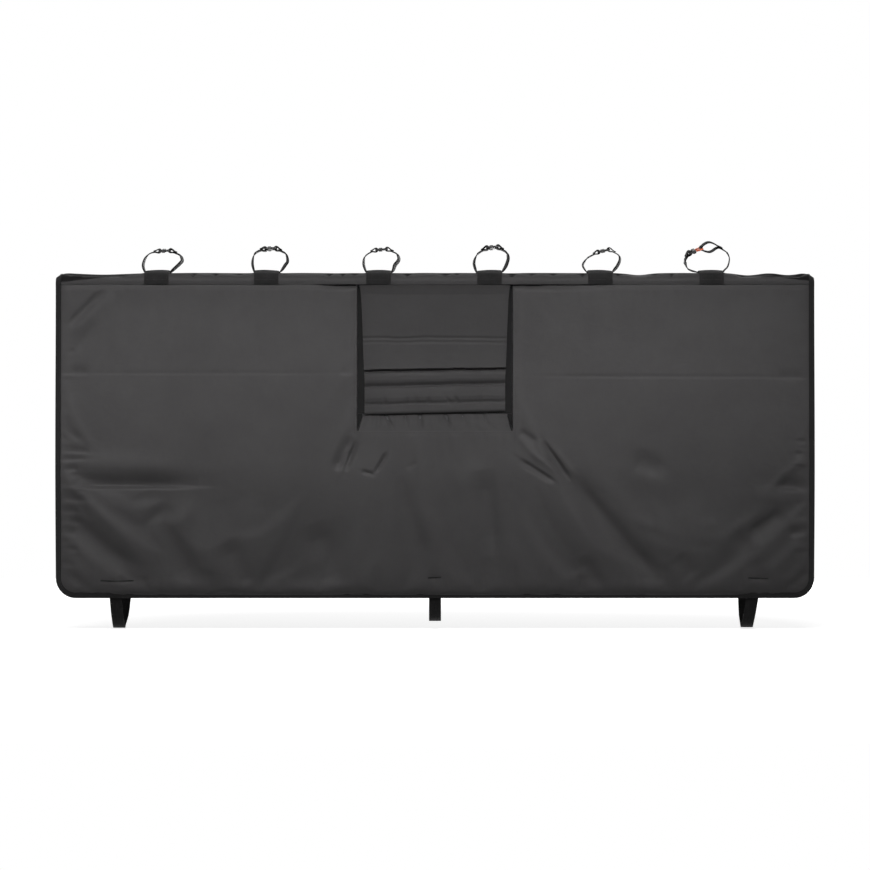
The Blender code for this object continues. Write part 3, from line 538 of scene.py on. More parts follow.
def cover_height(x, s):
    """Height of the smooth cover over the tailgate, before its folds."""
    edge = from_edge(x, s)
    aside = np.maximum(np.maximum(window_left - x, x - window_right), 0.0)
    below = np.where(s < 0, np.maximum(-s - window_span, 0.0), 1.0)
    window = np.hypot(aside, below)
    seam = np.abs(np.abs(s) - seam_span)
    nearest = np.minimum(np.minimum(edge, window), seam)
    drop = np.where(s > 0, rear_crown, front_crown) * (1 - bell(nearest, crown_reach))
    drop -= window_press * (1 - ramp(window / window_press_reach))
    drop -= seam_press * (1 - ramp(seam / rim_width))
    height = shell + np.where(np.abs(s) > seam_span, drop, 0.0)
    rim = rim_height + rim_step * near_seam(s)
    slope = rounding(rim_width, rim_shoulder) * np.maximum(edge, 0.0) / rim_width
    return rim + (height - rim) * np.where(edge < rim_width, slope, rounding(edge, rim_shoulder))


def uneven(x, s, pitch_x, pitch_s, seed):
    """Smooth noise from -1 to 1 over the cloth, with its own pitch across and along."""
    flat = np.stack([x / pitch_x, s / pitch_s], axis=-1).reshape(-1, 2)
    values = [noise.noise(Vector((a, b, seed))) for a, b in flat]
    return np.array(values).reshape(x.shape)


def fold(x, z, start, end, above, below, rise):
    """A fold along a line: its rise falls off over one width above the line and another below it."""
    run = np.array(end) - np.array(start)
    length = np.hypot(*run)
    share = ((x - start[0]) * run[0] + (z - start[1]) * run[1]) / length**2
    side = ((z - start[1]) * run[0] - (x - start[0]) * run[1]) / length * (1 if run[0] > 0 else -1)
    beyond = np.maximum(np.maximum(-share, share - 1), 0.0) * length
    width = np.where(side > 0, above, below)
    taper = np.clip(np.minimum(share, 1 - share) * 4, 0.15, 1.0)
    return rise * taper * np.exp(-((side / width) ** 2) - (beyond / (above + below)) ** 2)


# Each fold on the front: its two ends as x and height, its widths above and below, and its rise.
front_folds = (
    ((-0.754, -0.099), (-0.670, -0.016), 0.006, 0.010, -0.0042),
    ((-0.747, -0.117), (-0.650, -0.026), 0.014, 0.018, 0.0030),
    ((-0.735, -0.150), (-0.690, -0.075), 0.010, 0.014, -0.0016),
    ((-0.770, -0.191), (-0.160, -0.191), 0.0045, 0.003, -0.0005),
    ((-0.772, -0.191), (-0.700, -0.190), 0.012, 0.004, -0.0030),
    ((-0.200, -0.190), (-0.160, -0.191), 0.010, 0.004, -0.0014),
    ((0.160, -0.197), (0.770, -0.199), 0.0045, 0.003, -0.0007),
    ((0.690, -0.199), (0.772, -0.200), 0.012, 0.004, -0.0026),
    ((-0.775, -0.4195), (-0.470, -0.4200), 0.019, 0.0045, -0.0105),
    ((-0.770, -0.376), (-0.500, -0.384), 0.026, 0.020, 0.0045),
    ((-0.700, -0.450), (-0.560, -0.440), 0.016, 0.026, 0.0020),
    ((-0.772, -0.349), (-0.700, -0.352), 0.010, 0.0034, -0.0034),
    ((-0.772, -0.368), (-0.706, -0.366), 0.008, 0.0034, -0.0034),
    ((-0.772, -0.388), (-0.724, -0.386), 0.008, 0.0034, -0.0030),
    ((-0.772, -0.446), (-0.700, -0.452), 0.010, 0.0036, -0.0036),
    ((-0.772, -0.470), (-0.722, -0.476), 0.009, 0.0034, -0.0034),
    ((-0.772, -0.492), (-0.716, -0.496), 0.009, 0.0036, -0.0034),
    ((-0.772, -0.516), (-0.728, -0.520), 0.009, 0.0034, -0.0034),
    ((-0.772, -0.548), (-0.724, -0.552), 0.010, 0.0036, -0.0034),
    ((-0.772, -0.578), (-0.734, -0.584), 0.008, 0.0034, -0.0028),
    ((-0.772, -0.150), (-0.730, -0.147), 0.007, 0.0032, -0.0018),
    ((-0.772, -0.292), (-0.720, -0.330), 0.010, 0.0050, -0.0028),
    ((0.772, -0.330), (0.734, -0.328), 0.003, 0.0080, -0.0030),
    ((0.772, -0.356), (0.728, -0.354), 0.0034, 0.0080, -0.0032),
    ((0.772, -0.384), (0.730, -0.380), 0.0034, 0.0090, -0.0032),
    ((0.772, -0.452), (0.730, -0.456), 0.0034, 0.0090, -0.0032),
    ((0.772, -0.484), (0.736, -0.480), 0.0034, 0.0080, -0.0030),
    ((0.772, -0.552), (0.728, -0.556), 0.0034, 0.0090, -0.0030),
    ((0.772, -0.596), (0.740, -0.600), 0.0034, 0.0070, -0.0026),
    ((-0.770, -0.470), (-0.600, -0.600), 0.020, 0.026, -0.0100),
    ((-0.725, -0.440), (-0.565, -0.590), 0.022, 0.020, 0.0045),
    ((-0.600, -0.425), (-0.475, -0.645), 0.024, 0.034, -0.0105),
    ((-0.540, -0.440), (-0.425, -0.630), 0.026, 0.024, 0.0048),
    ((-0.430, -0.530), (-0.370, -0.640), 0.024, 0.030, -0.0085),
    ((-0.250, -0.490), (-0.190, -0.640), 0.030, 0.032, -0.0085),
    ((-0.168, -0.318), (-0.208, -0.392), 0.010, 0.012, -0.0056),
    ((-0.158, -0.326), (-0.186, -0.394), 0.0044, 0.0060, -0.0060),
    ((-0.170, -0.330), (-0.196, -0.410), 0.005, 0.005, 0.0018),
    ((-0.160, -0.345), (-0.205, -0.385), 0.007, 0.009, -0.0026),
    ((-0.096, -0.349), (-0.124, -0.398), 0.0034, 0.0042, -0.0058),
    ((-0.124, -0.398), (-0.150, -0.390), 0.0036, 0.0044, -0.0050),
    ((-0.060, -0.385), (-0.035, -0.372), 0.0040, 0.0060, -0.0016),
    ((0.168, -0.364), (0.250, -0.416), 0.0040, 0.0070, -0.0068),
    ((0.218, -0.326), (0.280, -0.414), 0.0036, 0.0064, -0.0072),
    ((0.226, -0.358), (0.268, -0.404), 0.0030, 0.0040, -0.0050),
    ((0.166, -0.306), (0.212, -0.334), 0.0070, 0.0110, -0.0050),
    ((0.190, -0.350), (0.255, -0.398), 0.0060, 0.0060, 0.0026),
    ((0.236, -0.335), (0.290, -0.405), 0.0060, 0.0060, 0.0024),
    ((0.262, -0.384), (0.468, -0.630), 0.018, 0.028, -0.0125),
    ((0.320, -0.392), (0.510, -0.610), 0.024, 0.026, 0.0045),
    ((0.255, -0.430), (0.330, -0.600), 0.028, 0.024, 0.0028),
    ((0.096, -0.380), (0.124, -0.570), 0.020, 0.026, -0.0080),
    ((0.040, -0.360), (0.110, -0.560), 0.022, 0.022, 0.0022),
    ((-0.084, -0.395), (-0.010, -0.590), 0.022, 0.026, -0.0085),
    ((0.400, -0.350), (0.480, -0.395), 0.016, 0.020, -0.0030),
    ((0.690, -0.418), (0.768, -0.426), 0.018, 0.007, -0.0085),
    ((0.636, -0.520), (0.716, -0.470), 0.014, 0.024, -0.0085),
    ((0.490, -0.560), (0.530, -0.610), 0.020, 0.022, -0.0060),
    ((0.716, -0.518), (0.768, -0.512), 0.014, 0.008, -0.0065),
    ((0.640, -0.440), (0.750, -0.450), 0.018, 0.014, 0.0034),
    ((0.716, -0.636), (0.768, -0.592), 0.009, 0.012, -0.0056),
    ((0.640, -0.560), (0.690, -0.640), 0.016, 0.020, -0.0034),
    ((0.600, -0.520), (0.650, -0.540), 0.024, 0.024, -0.0034),
    ((-0.755, -0.600), (-0.700, -0.640), 0.012, 0.014, -0.0034),
    ((-0.640, -0.600), (-0.640, -0.640), 0.006, 0.006, -0.0026),
    ((-0.600, -0.605), (-0.580, -0.640), 0.007, 0.007, -0.0024),
    ((-0.681, -0.6144), (-0.615, -0.6144), 0.0030, 0.0030, -0.0026),
    ((-0.0143, -0.6076), (0.0122, -0.6076), 0.0030, 0.0030, -0.0026),
    ((0.6385, -0.6088), (0.6795, -0.6088), 0.0030, 0.0030, -0.0026),
    ((0.40, -0.372), (0.46, -0.392), 0.020, 0.016, -0.0036),
    ((0.30, -0.560), (0.34, -0.640), 0.020, 0.020, -0.0050),
)


# Where the front is drawn in along the band's seam: depth, reach from the seam, and for each place its
# middle and half width.
sunk_seams = (
    (0.0048, 0.0090, ((-0.200, 0.038), (0.235, 0.095))),
    (0.0046, 0.0045, ((-0.180, 0.026), (0.186, 0.034))),
)


def folded_height(x, s):
    """Height of the front cover with its folds, broad waves, and puckers where it is sewn."""
    z = s + bend_end - edge_radius
    edge = from_edge(x, s)
    free = ramp((edge - 0.010) / 0.03)
    seam = np.abs(-s - seam_span)
    free *= ramp(seam / 0.02)
    aside = np.maximum(np.maximum(window_left - x, x - window_right), 0.0)
    window = np.hypot(aside, np.maximum(-s - window_span, 0.0))
    free *= np.clip(window / 0.02, 0.15, 1.0)
    rise = sum(fold(x, z, *values) for values in front_folds)
    lower = ramp((-z - 0.33) / 0.08)
    rise = rise + (0.0012 + 0.0022 * lower) * uneven(x - 0.5 * z, s, 0.16, 0.15, 3.1)
    rise = rise + (0.0004 + 0.0008 * lower) * uneven(x - 0.4 * z, s, 0.055, 0.07, 7.7)
    side = half_length - np.abs(x)
    along_side = np.where(side < bottom_distance(s), s, x)
    across_side = bell(edge, 0.042) * uneven(edge, along_side, 0.09, 0.016, 11.3)
    puckers = (0.0009 + 0.0022 * lower) * np.where(across_side < 0, across_side, 0.35 * across_side)
    sunk = 0.0
    for depth, reach, places in sunk_seams:
        sunk = sunk + sum(
            depth * np.exp(-(((x - middle) / width) ** 4)) * bell(seam, reach) for middle, width in places
        )
    gathers = 0.0009 * bell(seam, 0.022) * uneven(x, s, 0.017, 0.05, 5.9)
    pulls = 0.0008 * bell(window, 0.020) * uneven(x, s, 0.020, 0.020, 2.3)
    by_stitches = ramp((edge - 0.010) / 0.01) * (puckers + gathers + pulls)
    return cover_height(x, s) + free * rise - sunk + by_stitches


def in_window(x, s):
    """Whether places on the front lie in the window's opening."""
    return (s > -window_span) & (x > window_left) & (x < window_right)


def settled_cloth(across, along, height, sewn, is_cut, growth, frames):
    """How far the loose cloth rises when it settles, held where it is sewn, on a coarser grid."""
    quads = grid_quads(across, along, is_cut)
    grid_x, grid_s = np.meshgrid(across, along)
    start = wrapped(narrowed(grid_x, grid_s), grid_s, height).reshape(-1, 3)
    mesh = bpy.data.meshes.new("loose cloth")
    mesh.from_pydata(start.tolist(), [], quads.tolist())
    loose = bpy.data.objects.new("loose_cloth", mesh)
    bpy.context.scene.collection.objects.link(loose)
    held = loose.vertex_groups.new(name="sewn")
    for weight in (1.0, 0.5):
        chosen = np.flatnonzero(np.isclose(sewn.ravel(), weight))
        held.add(chosen.tolist(), weight, "REPLACE")
    cloth = loose.modifiers.new("cloth", "CLOTH")
    cloth.settings.quality = 6
    cloth.settings.mass = 0.25
    cloth.settings.tension_stiffness = 30.0
    cloth.settings.compression_stiffness = 30.0
    cloth.settings.shear_stiffness = 12.0
    cloth.settings.bending_stiffness = 0.6
    cloth.settings.tension_damping = 12.0
    cloth.settings.compression_damping = 12.0
    cloth.settings.shear_damping = 8.0
    cloth.settings.shrink_min = -growth
    cloth.settings.vertex_group_mass = "sewn"
    cloth.settings.effector_weights.gravity = 0.15
    cloth.collision_settings.use_collision = False
    cloth.point_cache.frame_end = frames
    for count in range(1, frames + 1):
        bpy.context.scene.frame_set(count)
    settled = loose.evaluated_get(bpy.context.evaluated_depsgraph_get()).to_mesh()
    after = np.empty(len(settled.vertices) * 3)
    settled.vertices.foreach_get("co", after)
    bpy.context.scene.frame_set(1)
    bpy.data.objects.remove(loose)
    return (start[:, 1] - after.reshape(-1, 3)[:, 1]).reshape(grid_x.shape)


def softened(values, passes):
    """The values with their sharpest steps smoothed out over the grid."""
    for _ in range(passes):
        padded = np.pad(values, 1, mode="edge")
        around = padded[:-2, 1:-1] + padded[2:, 1:-1] + padded[1:-1, :-2] + padded[1:-1, 2:]
        values = 0.5 * values + 0.125 * around
    return values


cover_weave = (1100.0, 0.00010, 0.0008)
cover_cloth = cloth_material(
    "charcoal coated polyester", (0.054, 0.0520, 0.0530), (0.066, 0.0638, 0.0648), *cover_weave, 0.52, 0.02
)
coarse, fine = 0.0040, 0.0024
fine_left, fine_right, fine_low = -0.25, 0.30, -span_at(-0.44)
line_low, line_high = -span_at(-0.206), -span_at(-0.184)
front_across = np.concatenate(
    [
        ruled([-half_length, -half_length + rim_width, fine_left], coarse),
        ruled([fine_left, window_left], fine)[1:],
        ruled([window_left, window_right], 0.0032)[1:],
        ruled([window_right, fine_right], fine)[1:],
        ruled([fine_right, half_length - rim_width, half_length], coarse)[1:],
    ]
)
front_along = np.concatenate(
    [
        -hem_lines(front_span),
        ruled([-front_span + corner_radius, fine_low], coarse)[1:],
        ruled([fine_low, -window_span], fine)[1:],
        ruled([-window_span, line_low], coarse)[1:],
        ruled([line_low, line_high], 0.0018)[1:],
        ruled([line_high, -seam_span - 0.02], coarse)[1:],
        ruled([-seam_span - 0.02, -seam_span - gap / 2], 0.0022)[1:],
    ]
)
grid_x, grid_s = np.meshgrid(front_across, front_along)
bound_x = narrowed(grid_x, grid_s)
front_height = folded_height(bound_x, grid_s)
cloth_across = np.linspace(-half_length, half_length, 195)
above_corners = np.linspace(-front_span + corner_radius, -seam_span, 78)[1:]
cloth_along = np.concatenate([-hem_lines(front_span, count=6), above_corners])
cloth_x, cloth_s = np.meshgrid(cloth_across, cloth_along)
cloth_x = narrowed(cloth_x, cloth_s)
by_edge = from_edge(cloth_x, cloth_s) < 0.011
by_seam = -cloth_s - seam_span < 0.004
inside = in_window(cloth_x, cloth_s)
beside_window = (cloth_x > window_left - 0.006) & (cloth_x < window_right + 0.006)
near_window = (cloth_s > -window_span - 0.005) & beside_window
sewn = np.where(by_edge | by_seam | near_window, 1.0, 0.0)
growth, frames = 0.010, 24
swollen = settled_cloth(
    cloth_across, cloth_along, folded_height(cloth_x, cloth_s), sewn, in_window, growth, frames
)
swollen = np.where(inside | by_edge | by_seam, 0.0, np.clip(swollen, -0.004, 0.006))
swollen *= np.clip((-cloth_s - 0.06) / 0.34, 0.12, 1.0)
by_row = np.array([np.interp(front_across, cloth_across, row) for row in swollen])
front_height += softened(np.array([np.interp(front_along, cloth_along, line) for line in by_row.T]).T, 3)


def on_cover(x, s):
    """Height of the finished front cover at places on it."""
    column = np.clip(np.searchsorted(front_across, x) - 1, 0, len(front_across) - 2)
    row = np.clip(np.searchsorted(front_along, s) - 1, 0, len(front_along) - 2)
    right = ramp((x - front_across[column]) / (front_across[column + 1] - front_across[column]))
    up = ramp((s - front_along[row]) / (front_along[row + 1] - front_along[row]))
    low = front_height[row, column] * (1 - right) + front_height[row, column + 1] * right
    high = front_height[row + 1, column] * (1 - right) + front_height[row + 1, column + 1] * right
    return low * (1 - up) + high * up


foam_back = np.minimum(foam_base + rim_step, front_height - 0.001)
front_cover = double_skin(
    "front_cover",
    front_across,
    front_along,
    wrapped(bound_x, grid_s, front_height),
    wrapped(bound_x, grid_s, foam_back),
    in_window,
)
fit(front_cover, cover_cloth, "cover_fabric", "front_panel", "front_foam")


# Top cover: the padded band that lies along the tailgate's top edge, sewn to the front and to the bed
# side. Its foam is pressed down in places and its seams gather it into small puckers. Its cloth is a
# darker copy of the cover's, and its upper side darker still, as painted shade; the puckers and the
# ends draw that shade forward as painted shadow.
tab_places = (-0.568, -0.344, -0.115, 0.111, 0.337, 0.564)
half_tab = 0.025
# The band's puckers and its pressed places: the middle, width and depth of each.
band_pinches = (
    (-0.642, 0.009, 0.0030), (-0.493, 0.006, 0.0048), (-0.448, 0.005, 0.0046), (-0.400, 0.008, 0.0026),
    (-0.216, 0.006, 0.0046), (-0.189, 0.005, 0.0048), (-0.166, 0.008, 0.0034), (-0.057, 0.007, 0.0046),
    (0.020, 0.010, 0.0040), (0.044, 0.006, 0.0036), (0.157, 0.009, 0.0050), (0.196, 0.009, 0.0044),
    (0.240, 0.007, 0.0030), (0.301, 0.008, 0.0044), (0.372, 0.006, 0.0040), (0.448, 0.008, 0.0030),
    (0.482, 0.005, 0.0046), (0.628, 0.007, 0.0040), (0.700, 0.009, 0.0036), (0.745, 0.008, 0.0040),
)
band_presses = (
    (0.4175, 0.026, 0.0045), (0.640, 0.030, 0.0046), (0.722, 0.026, 0.0040), (-0.68, 0.06, 0.0034),
)
right_slack_start, left_slack_start = 0.585, -0.600
shoulder = -0.0268
most_slack = 0.0095


def plump_bend(s):
    """How far the foam stands out past a plain bend over both edges of the tailgate."""
    sewn_down = 1 - bell(np.abs(s) - seam_span, 0.0040)
    return 0.0040 * sewn_down * bell(np.abs(s) - half_flat - 0.72 * bend_span, 0.0065)


def band_height(x, s):
    """Height of the band, with its pressed places and its puckers towards both seams."""
    edge = from_edge(x, s)
    seam = np.abs(np.abs(s) - seam_span)
    over = ramp(1 - (np.abs(s) / half_channel) ** 4)
    press = sum(depth * bell(x - middle, width) for middle, width, depth in band_presses)
    waves = 0.0007 * uneven(x, s, 0.060, 0.05, 1.7)
    gathers = 0.0011 * bell(seam, 0.014) * uneven(x, s, 0.015, 0.04, 8.3)
    slack = 0.0024 + 0.0012 * uneven(x, s, 0.045, 0.2, 2.6)
    slack = slack + 0.0052 * ramp((x - right_slack_start) / 0.15)
    slack = slack + 0.0034 * ramp((left_slack_start - x) / 0.09)
    for middle, width, depth in band_pinches:
        lean = middle + 0.45 * (s + 0.028)
        slack = slack + depth * bell(x - lean, width)
    past = s - shoulder
    slack = np.minimum(slack, most_slack) * bell(past, np.where(past < 0, 0.0048, 0.0100))
    away = ramp((edge - 0.010) / 0.02)
    clear = np.ones_like(x)
    for middle in tab_places:
        clear *= ramp((np.abs(x - middle) - half_tab) / 0.008)
    full = plump_bend(s) * ramp((edge - 0.008) / 0.03)
    bumps = away * clear * (waves + gathers - over**0.25 * press - slack)
    height = cover_height(x, s) - 0.0002 + full + bumps
    over_flap = (s < 0) & (seam < 0.006) & (x > window_left) & (x < window_right)
    return np.maximum(height, np.where(over_flap, shell - 0.0005, 0.0))


def painted_shade_edge(x):
    """Where the painted shade of the band's upper side begins, drawn forward at its ends and puckers as
    painted shadow.
    """
    place = -0.0291 - 0.0007 * uneven(x, 0.0 * x, 0.035, 0.2, 5.5)
    at_ends = 0.0062 * ramp((x - right_slack_start) / 0.17)
    at_ends = at_ends + 0.0072 * ramp((left_slack_start - x) / 0.15) ** 0.8
    drawn = 0.70 * np.clip(1 - at_ends / 0.0035, 0.12, 1.0)
    # Each pucker draws the painted shade forward into its dip, as painted shadow.
    for middle, width, depth in band_pinches:
        place = place - drawn * depth * bell(x - middle, 0.9 * width)
    return place - at_ends


end_stops = [-half_length, -half_length + rim_width, half_length - rim_width, half_length]
top_across = ruled(end_stops, 0.0025)
top_along = ruled(
    [-seam_span + gap / 2, -bend_end, -half_flat, half_flat, bend_end, seam_span - gap / 2], 0.0022
)
grid_x, grid_s = np.meshgrid(top_across, top_along)
band = band_height(grid_x, grid_s)
top_cover = double_skin(
    "top_cover",
    top_across,
    top_along,
    wrapped(grid_x, grid_s, band),
    wrapped(grid_x, grid_s, np.minimum(foam_base + rim_step, band - 0.001)),
)
# The band's upper side, between that edge and the rear seam, is marked for painted shade.
upward = np.minimum(grid_s - painted_shade_edge(grid_x), 0.0290 - grid_s).ravel()
mask = top_cover.data.attributes.new("upward", "FLOAT", "POINT")
mask.data.foreach_set("value", np.concatenate([upward, upward]))
# The band's cloth is a darker copy of the cover's, as painted shade where it turns over the top.
shaded_band_cloth = cloth_material(
    "charcoal band cloth", (0.0455, 0.0438, 0.0447), (0.0565, 0.0545, 0.0555), *cover_weave, 0.52, 0.02
)
# Over the upper side the colour is scaled to 0.22 as painted shade, and its specular level is lowered.
tree = shaded_band_cloth.node_tree
shader = tree.nodes["Principled BSDF"]
charcoal = shader.inputs["Base Color"].links[0].from_socket
top_shade_mask = node_of(tree, "ShaderNodeAttribute", attribute_name="upward")
crossing = node_of(tree, "ShaderNodeMapRange", From_Min=-0.0003, From_Max=0.0003)
darker = node_of(tree, "ShaderNodeMapRange", To_Min=1.0, To_Max=0.22)
duller = node_of(tree, "ShaderNodeMapRange", To_Min=0.12, To_Max=0.03)
shaded_top_colour = node_of(tree, "ShaderNodeVectorMath", operation="SCALE")
tree.links.new(charcoal, shaded_top_colour.inputs[0])
wire(
    tree,
    (top_shade_mask, "Fac", crossing, "Value"),
    (crossing, "Result", darker, "Value"),
    (crossing, "Result", duller, "Value"),
    (darker, "Result", shaded_top_colour, "Scale"),
    (shaded_top_colour, 0, shader, "Base Color"),
    (duller, "Result", shader, "Specular IOR Level"),
)
fit(top_cover, shaded_band_cloth, "cover_fabric", "top_panel", "top_foam")


# Rear cover: the short drop on the bed side, of the same coated cloth over foam. It is sewn to the band
# above, and the binding closes its other three edges.
rear_across = ruled(end_stops, 0.006)
above_corners = ruled([seam_span + gap / 2, rear_span - corner_radius], 0.006)
rear_along = np.concatenate([above_corners, hem_lines(rear_span)[::-1][1:]])
grid_x, grid_s = np.meshgrid(rear_across, rear_along)
bound_x = narrowed(grid_x, grid_s)
edge = from_edge(bound_x, grid_s)
free = ramp((edge - 0.010) / 0.03)
seam = np.abs(grid_s - seam_span)
rear_height = cover_height(bound_x, grid_s) - 0.0002
rear_height += free * (0.0009 * uneven(bound_x, grid_s, 0.20, 0.10, 4.2) - 0.0009)
rear_height += free * 0.0007 * bell(seam, 0.022) * uneven(bound_x, grid_s, 0.018, 0.05, 6.6)
at_rim = ramp((edge - 0.010) / 0.01) * 0.0006 * bell(edge, 0.03)
rear_height += at_rim * uneven(bound_x, grid_s, 0.03, 0.02, 9.2)
rear_cover = double_skin(
    "rear_cover",
    rear_across,
    rear_along,
    wrapped(bound_x, grid_s, rear_height),
    wrapped(bound_x, grid_s, np.minimum(foam_base + rim_step, rear_height - 0.001)),
)
fit(rear_cover, cover_cloth, "cover_fabric", "rear_panel", "rear_foam")


# Edge binding: black woven tape folded over the raw edges of all the layers and sewn through them.
binding_cloth = cloth_material(
    "black binding tape", (0.0105, 0.0102, 0.0105), (0.020, 0.0194, 0.020), 900.0, 0.00025, 0.0006, 0.72, 0.03
)
binding = 0.0010
binding_leg = rim_width - binding
tape_width = 0.027


def outline_stations():
    """Places along the pad's outline, as x, s and the direction into the pad."""
    centre = half_length - corner_radius
    rear_s = rear_span - corner_radius
    front_s = -front_span + corner_radius
    quarter = [(math.cos(turn), math.sin(turn)) for turn in np.linspace(0.0, math.pi / 2, 13)[1:]]

    def corner(x, s, outward):
        return [(x + corner_radius * a, s + corner_radius * b, -a, -b) for a, b in outward]

    stops = [front_s, -window_span, -seam_span, -bend_end, -half_flat, half_flat, bend_end, seam_span, rear_s]
    upright = ruled(stops, 0.006)
    upright = np.concatenate(
        [
            upright[upright < -bend_end],
            ruled([-bend_end, -half_flat], 0.0024),
            upright[(upright > -half_flat) & (upright < half_flat)],
            ruled([half_flat, bend_end], 0.0024),
            upright[upright > bend_end],
        ]
    )
    along_hem = ruled([centre, window_right, window_left, -centre], 0.008)[1:]
    right = [(half_length, s, -1.0, 0.0) for s in upright]
    right += corner(centre, rear_s, quarter)
    rear = [(x, rear_span, 0.0, -1.0) for x in along_hem]
    rear += corner(-centre, rear_s, [(-b, a) for a, b in quarter])
    left = [(-half_length, s, 1.0, 0.0) for s in upright[::-1][1:]]
    left += corner(-centre, front_s, [(-a, -b) for a, b in quarter])
    front = [(x, -front_span, 0.0, 1.0) for x in -along_hem]
    front += corner(centre, front_s, [(b, -a) for a, b in quarter[:-1]])
    return np.array(right + rear + left + front)


def binding_section(step, swell):
    """The tape's section for one station, as depths into the pad and heights, all the way round it."""
    rim = rim_height + step
    near = rim + 2 * gap
    under = step - gap - 0.0001
    slope = (shell - rim) * float(rounding(rim_width, rim_shoulder)) / rim_width
    middle = np.array(
        [
            (binding_leg, near + slope * binding_leg),
            (binding_leg * 0.55, near + slope * binding_leg * 0.55),
            (0.0008, near + slope * 0.0008),
            (-0.0004, near - 0.0004),
            (-gap - 0.0003, rim - 0.001),
            (-gap - 0.0003, step + 0.0006),
            (0.0006, under),
            (binding_leg * 0.5, under),
            (binding_leg, under),
        ]
    )
    ahead = np.gradient(middle, axis=0)
    normal = np.stack([ahead[:, 1], -ahead[:, 0]], axis=-1)
    normal /= np.linalg.norm(normal, axis=1)[:, None]
    outside = middle + -normal * (binding + swell) * 0.92
    return np.concatenate([middle, outside[::-1]])


stations = outline_stations()
ahead = np.diff(stations[:, :2], axis=0, append=stations[:1, :2])
travelled = np.concatenate([[0.0], np.cumsum(np.hypot(ahead[:, 0], ahead[:, 1]))[:-1]])
press = rim_step * near_seam(stations[:, 1])
swells = 0.00022 * np.array([noise.noise(Vector((t / 0.011, 0.0, 4.0))) for t in travelled])
sections = np.array([binding_section(step, swell) for step, swell in zip(press, swells)])
ring_x = stations[:, 0, None] + stations[:, 2, None] * sections[:, :, 0]
ring_s = stations[:, 1, None] + stations[:, 3, None] * sections[:, :, 0]
rings = wrapped(ring_x, ring_s, sections[:, :, 1])


def ring_body(name, rings, u, v, closed=False):
    """A body through rings of points, run round into itself or capped at both ends with fans."""
    count, size = rings.shape[:2]
    last = count if closed else count - 1
    start = np.arange(last)[:, None]
    corner = np.arange(size)[None, :]
    after, beside = (start + 1) % count, (corner + 1) % size
    quads = np.stack(
        [start * size + corner, start * size + beside, after * size + beside, after * size + corner], axis=-1
    )
    faces = quads.reshape(-1, 4)
    if not closed:
        half = size // 2
        pairs = np.arange(half - 1)
        cap = np.stack([pairs, pairs + 1, size - 2 - pairs, size - 1 - pairs], axis=-1)
        faces = np.concatenate([faces, cap[:, ::-1], cap + (count - 1) * size])
    uvs = np.stack(np.broadcast_arrays(u[None, :], v[:, None]), axis=-1)
    return add_piece(name, rings, faces, uvs)


around = np.concatenate([np.linspace(0.0, tape_width, 9), np.linspace(tape_width, 0.0, 9)])
edge_tape = ring_body("edge_binding_tape", rings, around, travelled, closed=True)
fit(edge_tape, binding_cloth, "binding_tape", "edge_binding")


# Window facing: thin cloth that closes the foam's cut edge, upright at both sides and sloping at the
# sill, where it was stitched by hand and lies in small uneven pleats. Facing and flap are coloured a
# darker copy of the cover's cloth, as painted shade in the window's recess. Behind the flap, near-black
# cloth at both sides, in both corners and on a flange above the sill is painted shade in the deepest gaps.
# The facing and flap cloth is a darker copy of the cover's: painted shade in the window's recess.
recess_darkened_cloth = cloth_material(
    "charcoal flap cloth", (0.040, 0.0385, 0.0393), (0.050, 0.0482, 0.0490), *cover_weave, 0.54, 0.02
)
facing_pitch = 0.003
mitre = 0.004
facing_path = [(window_left, -s, 1.0) for s in ruled([seam_span + gap, sill_top, window_span], facing_pitch)]
sill_x = ruled([window_left + mitre, window_right - mitre], facing_pitch)
facing_path += [(x, -window_span, 0.0) for x in sill_x]
side_s = ruled([-window_span, -sill_top, -seam_span - gap], facing_pitch)
facing_path += [(window_right, s, -1.0) for s in side_s]
facing_path = np.array(facing_path)
facing_rows = np.arange(len(facing_path)) * facing_pitch
depth_share = np.linspace(0.0, 1.0, 12)
path_x, path_s, toward = (facing_path[:, k, None] for k in range(3))
at_sill = toward == 0.0
share = depth_share[None, :]
top_height = cover_height(path_x, path_s) - 0.0004 - 0.0010 * at_sill
rise = np.where(at_sill, sill_depth, 0.0)
facing_n = top_height + (foam_base + 0.0004 - top_height) * share
facing_x = path_x + toward * 0.002 * share + 0 * share
facing_s = path_s + rise * share
tuck = ramp(share * 6) * ramp((1 - share) * 6)
pleat = np.array([noise.noise(Vector((place / 0.012, 0.0, 6.1))) for place in facing_rows])[:, None]
wander = uneven(facing_rows[:, None] + 0 * share, share * 0.03 + 0 * pleat, 0.016, 0.011, 3.3)
facing_n = facing_n + at_sill * tuck * (0.0012 * pleat + 0.0010 * wander)
facing_x = facing_x - toward * tuck * (0.0004 + 0.0010 * np.abs(wander))
for crease_x, lean, depth, reach in (
    (-0.108, 0.0240, 0.0050, 1.0),
    (-0.119, 0.0010, 0.0020, 1.0),
    (-0.064, 0.0080, 0.0030, 0.8),
    (-0.033, 0.0050, 0.0036, 0.9),
    (0.022, 0.0130, 0.0046, 1.0),
    (0.060, -0.0060, 0.0022, 0.6),
    (0.105, 0.0070, 0.0026, 0.7),
):
    crease = depth * bell(path_x - crease_x - lean * (1 - share), 0.0032)
    facing_n = facing_n - at_sill * tuck * crease * ramp(share * 1.6 + reach - 0.9)
facing_x = facing_x - at_sill * 0.060 * share * (path_x - (window_left + window_right) / 2)
outer = wrapped(facing_x, facing_s, facing_n)
inner = wrapped(facing_x - toward * 0.0010, facing_s - at_sill * 0.0004, facing_n - at_sill * 0.0010)
facing = double_skin("window_facing_cloth", depth_share, facing_rows, outer, inner)
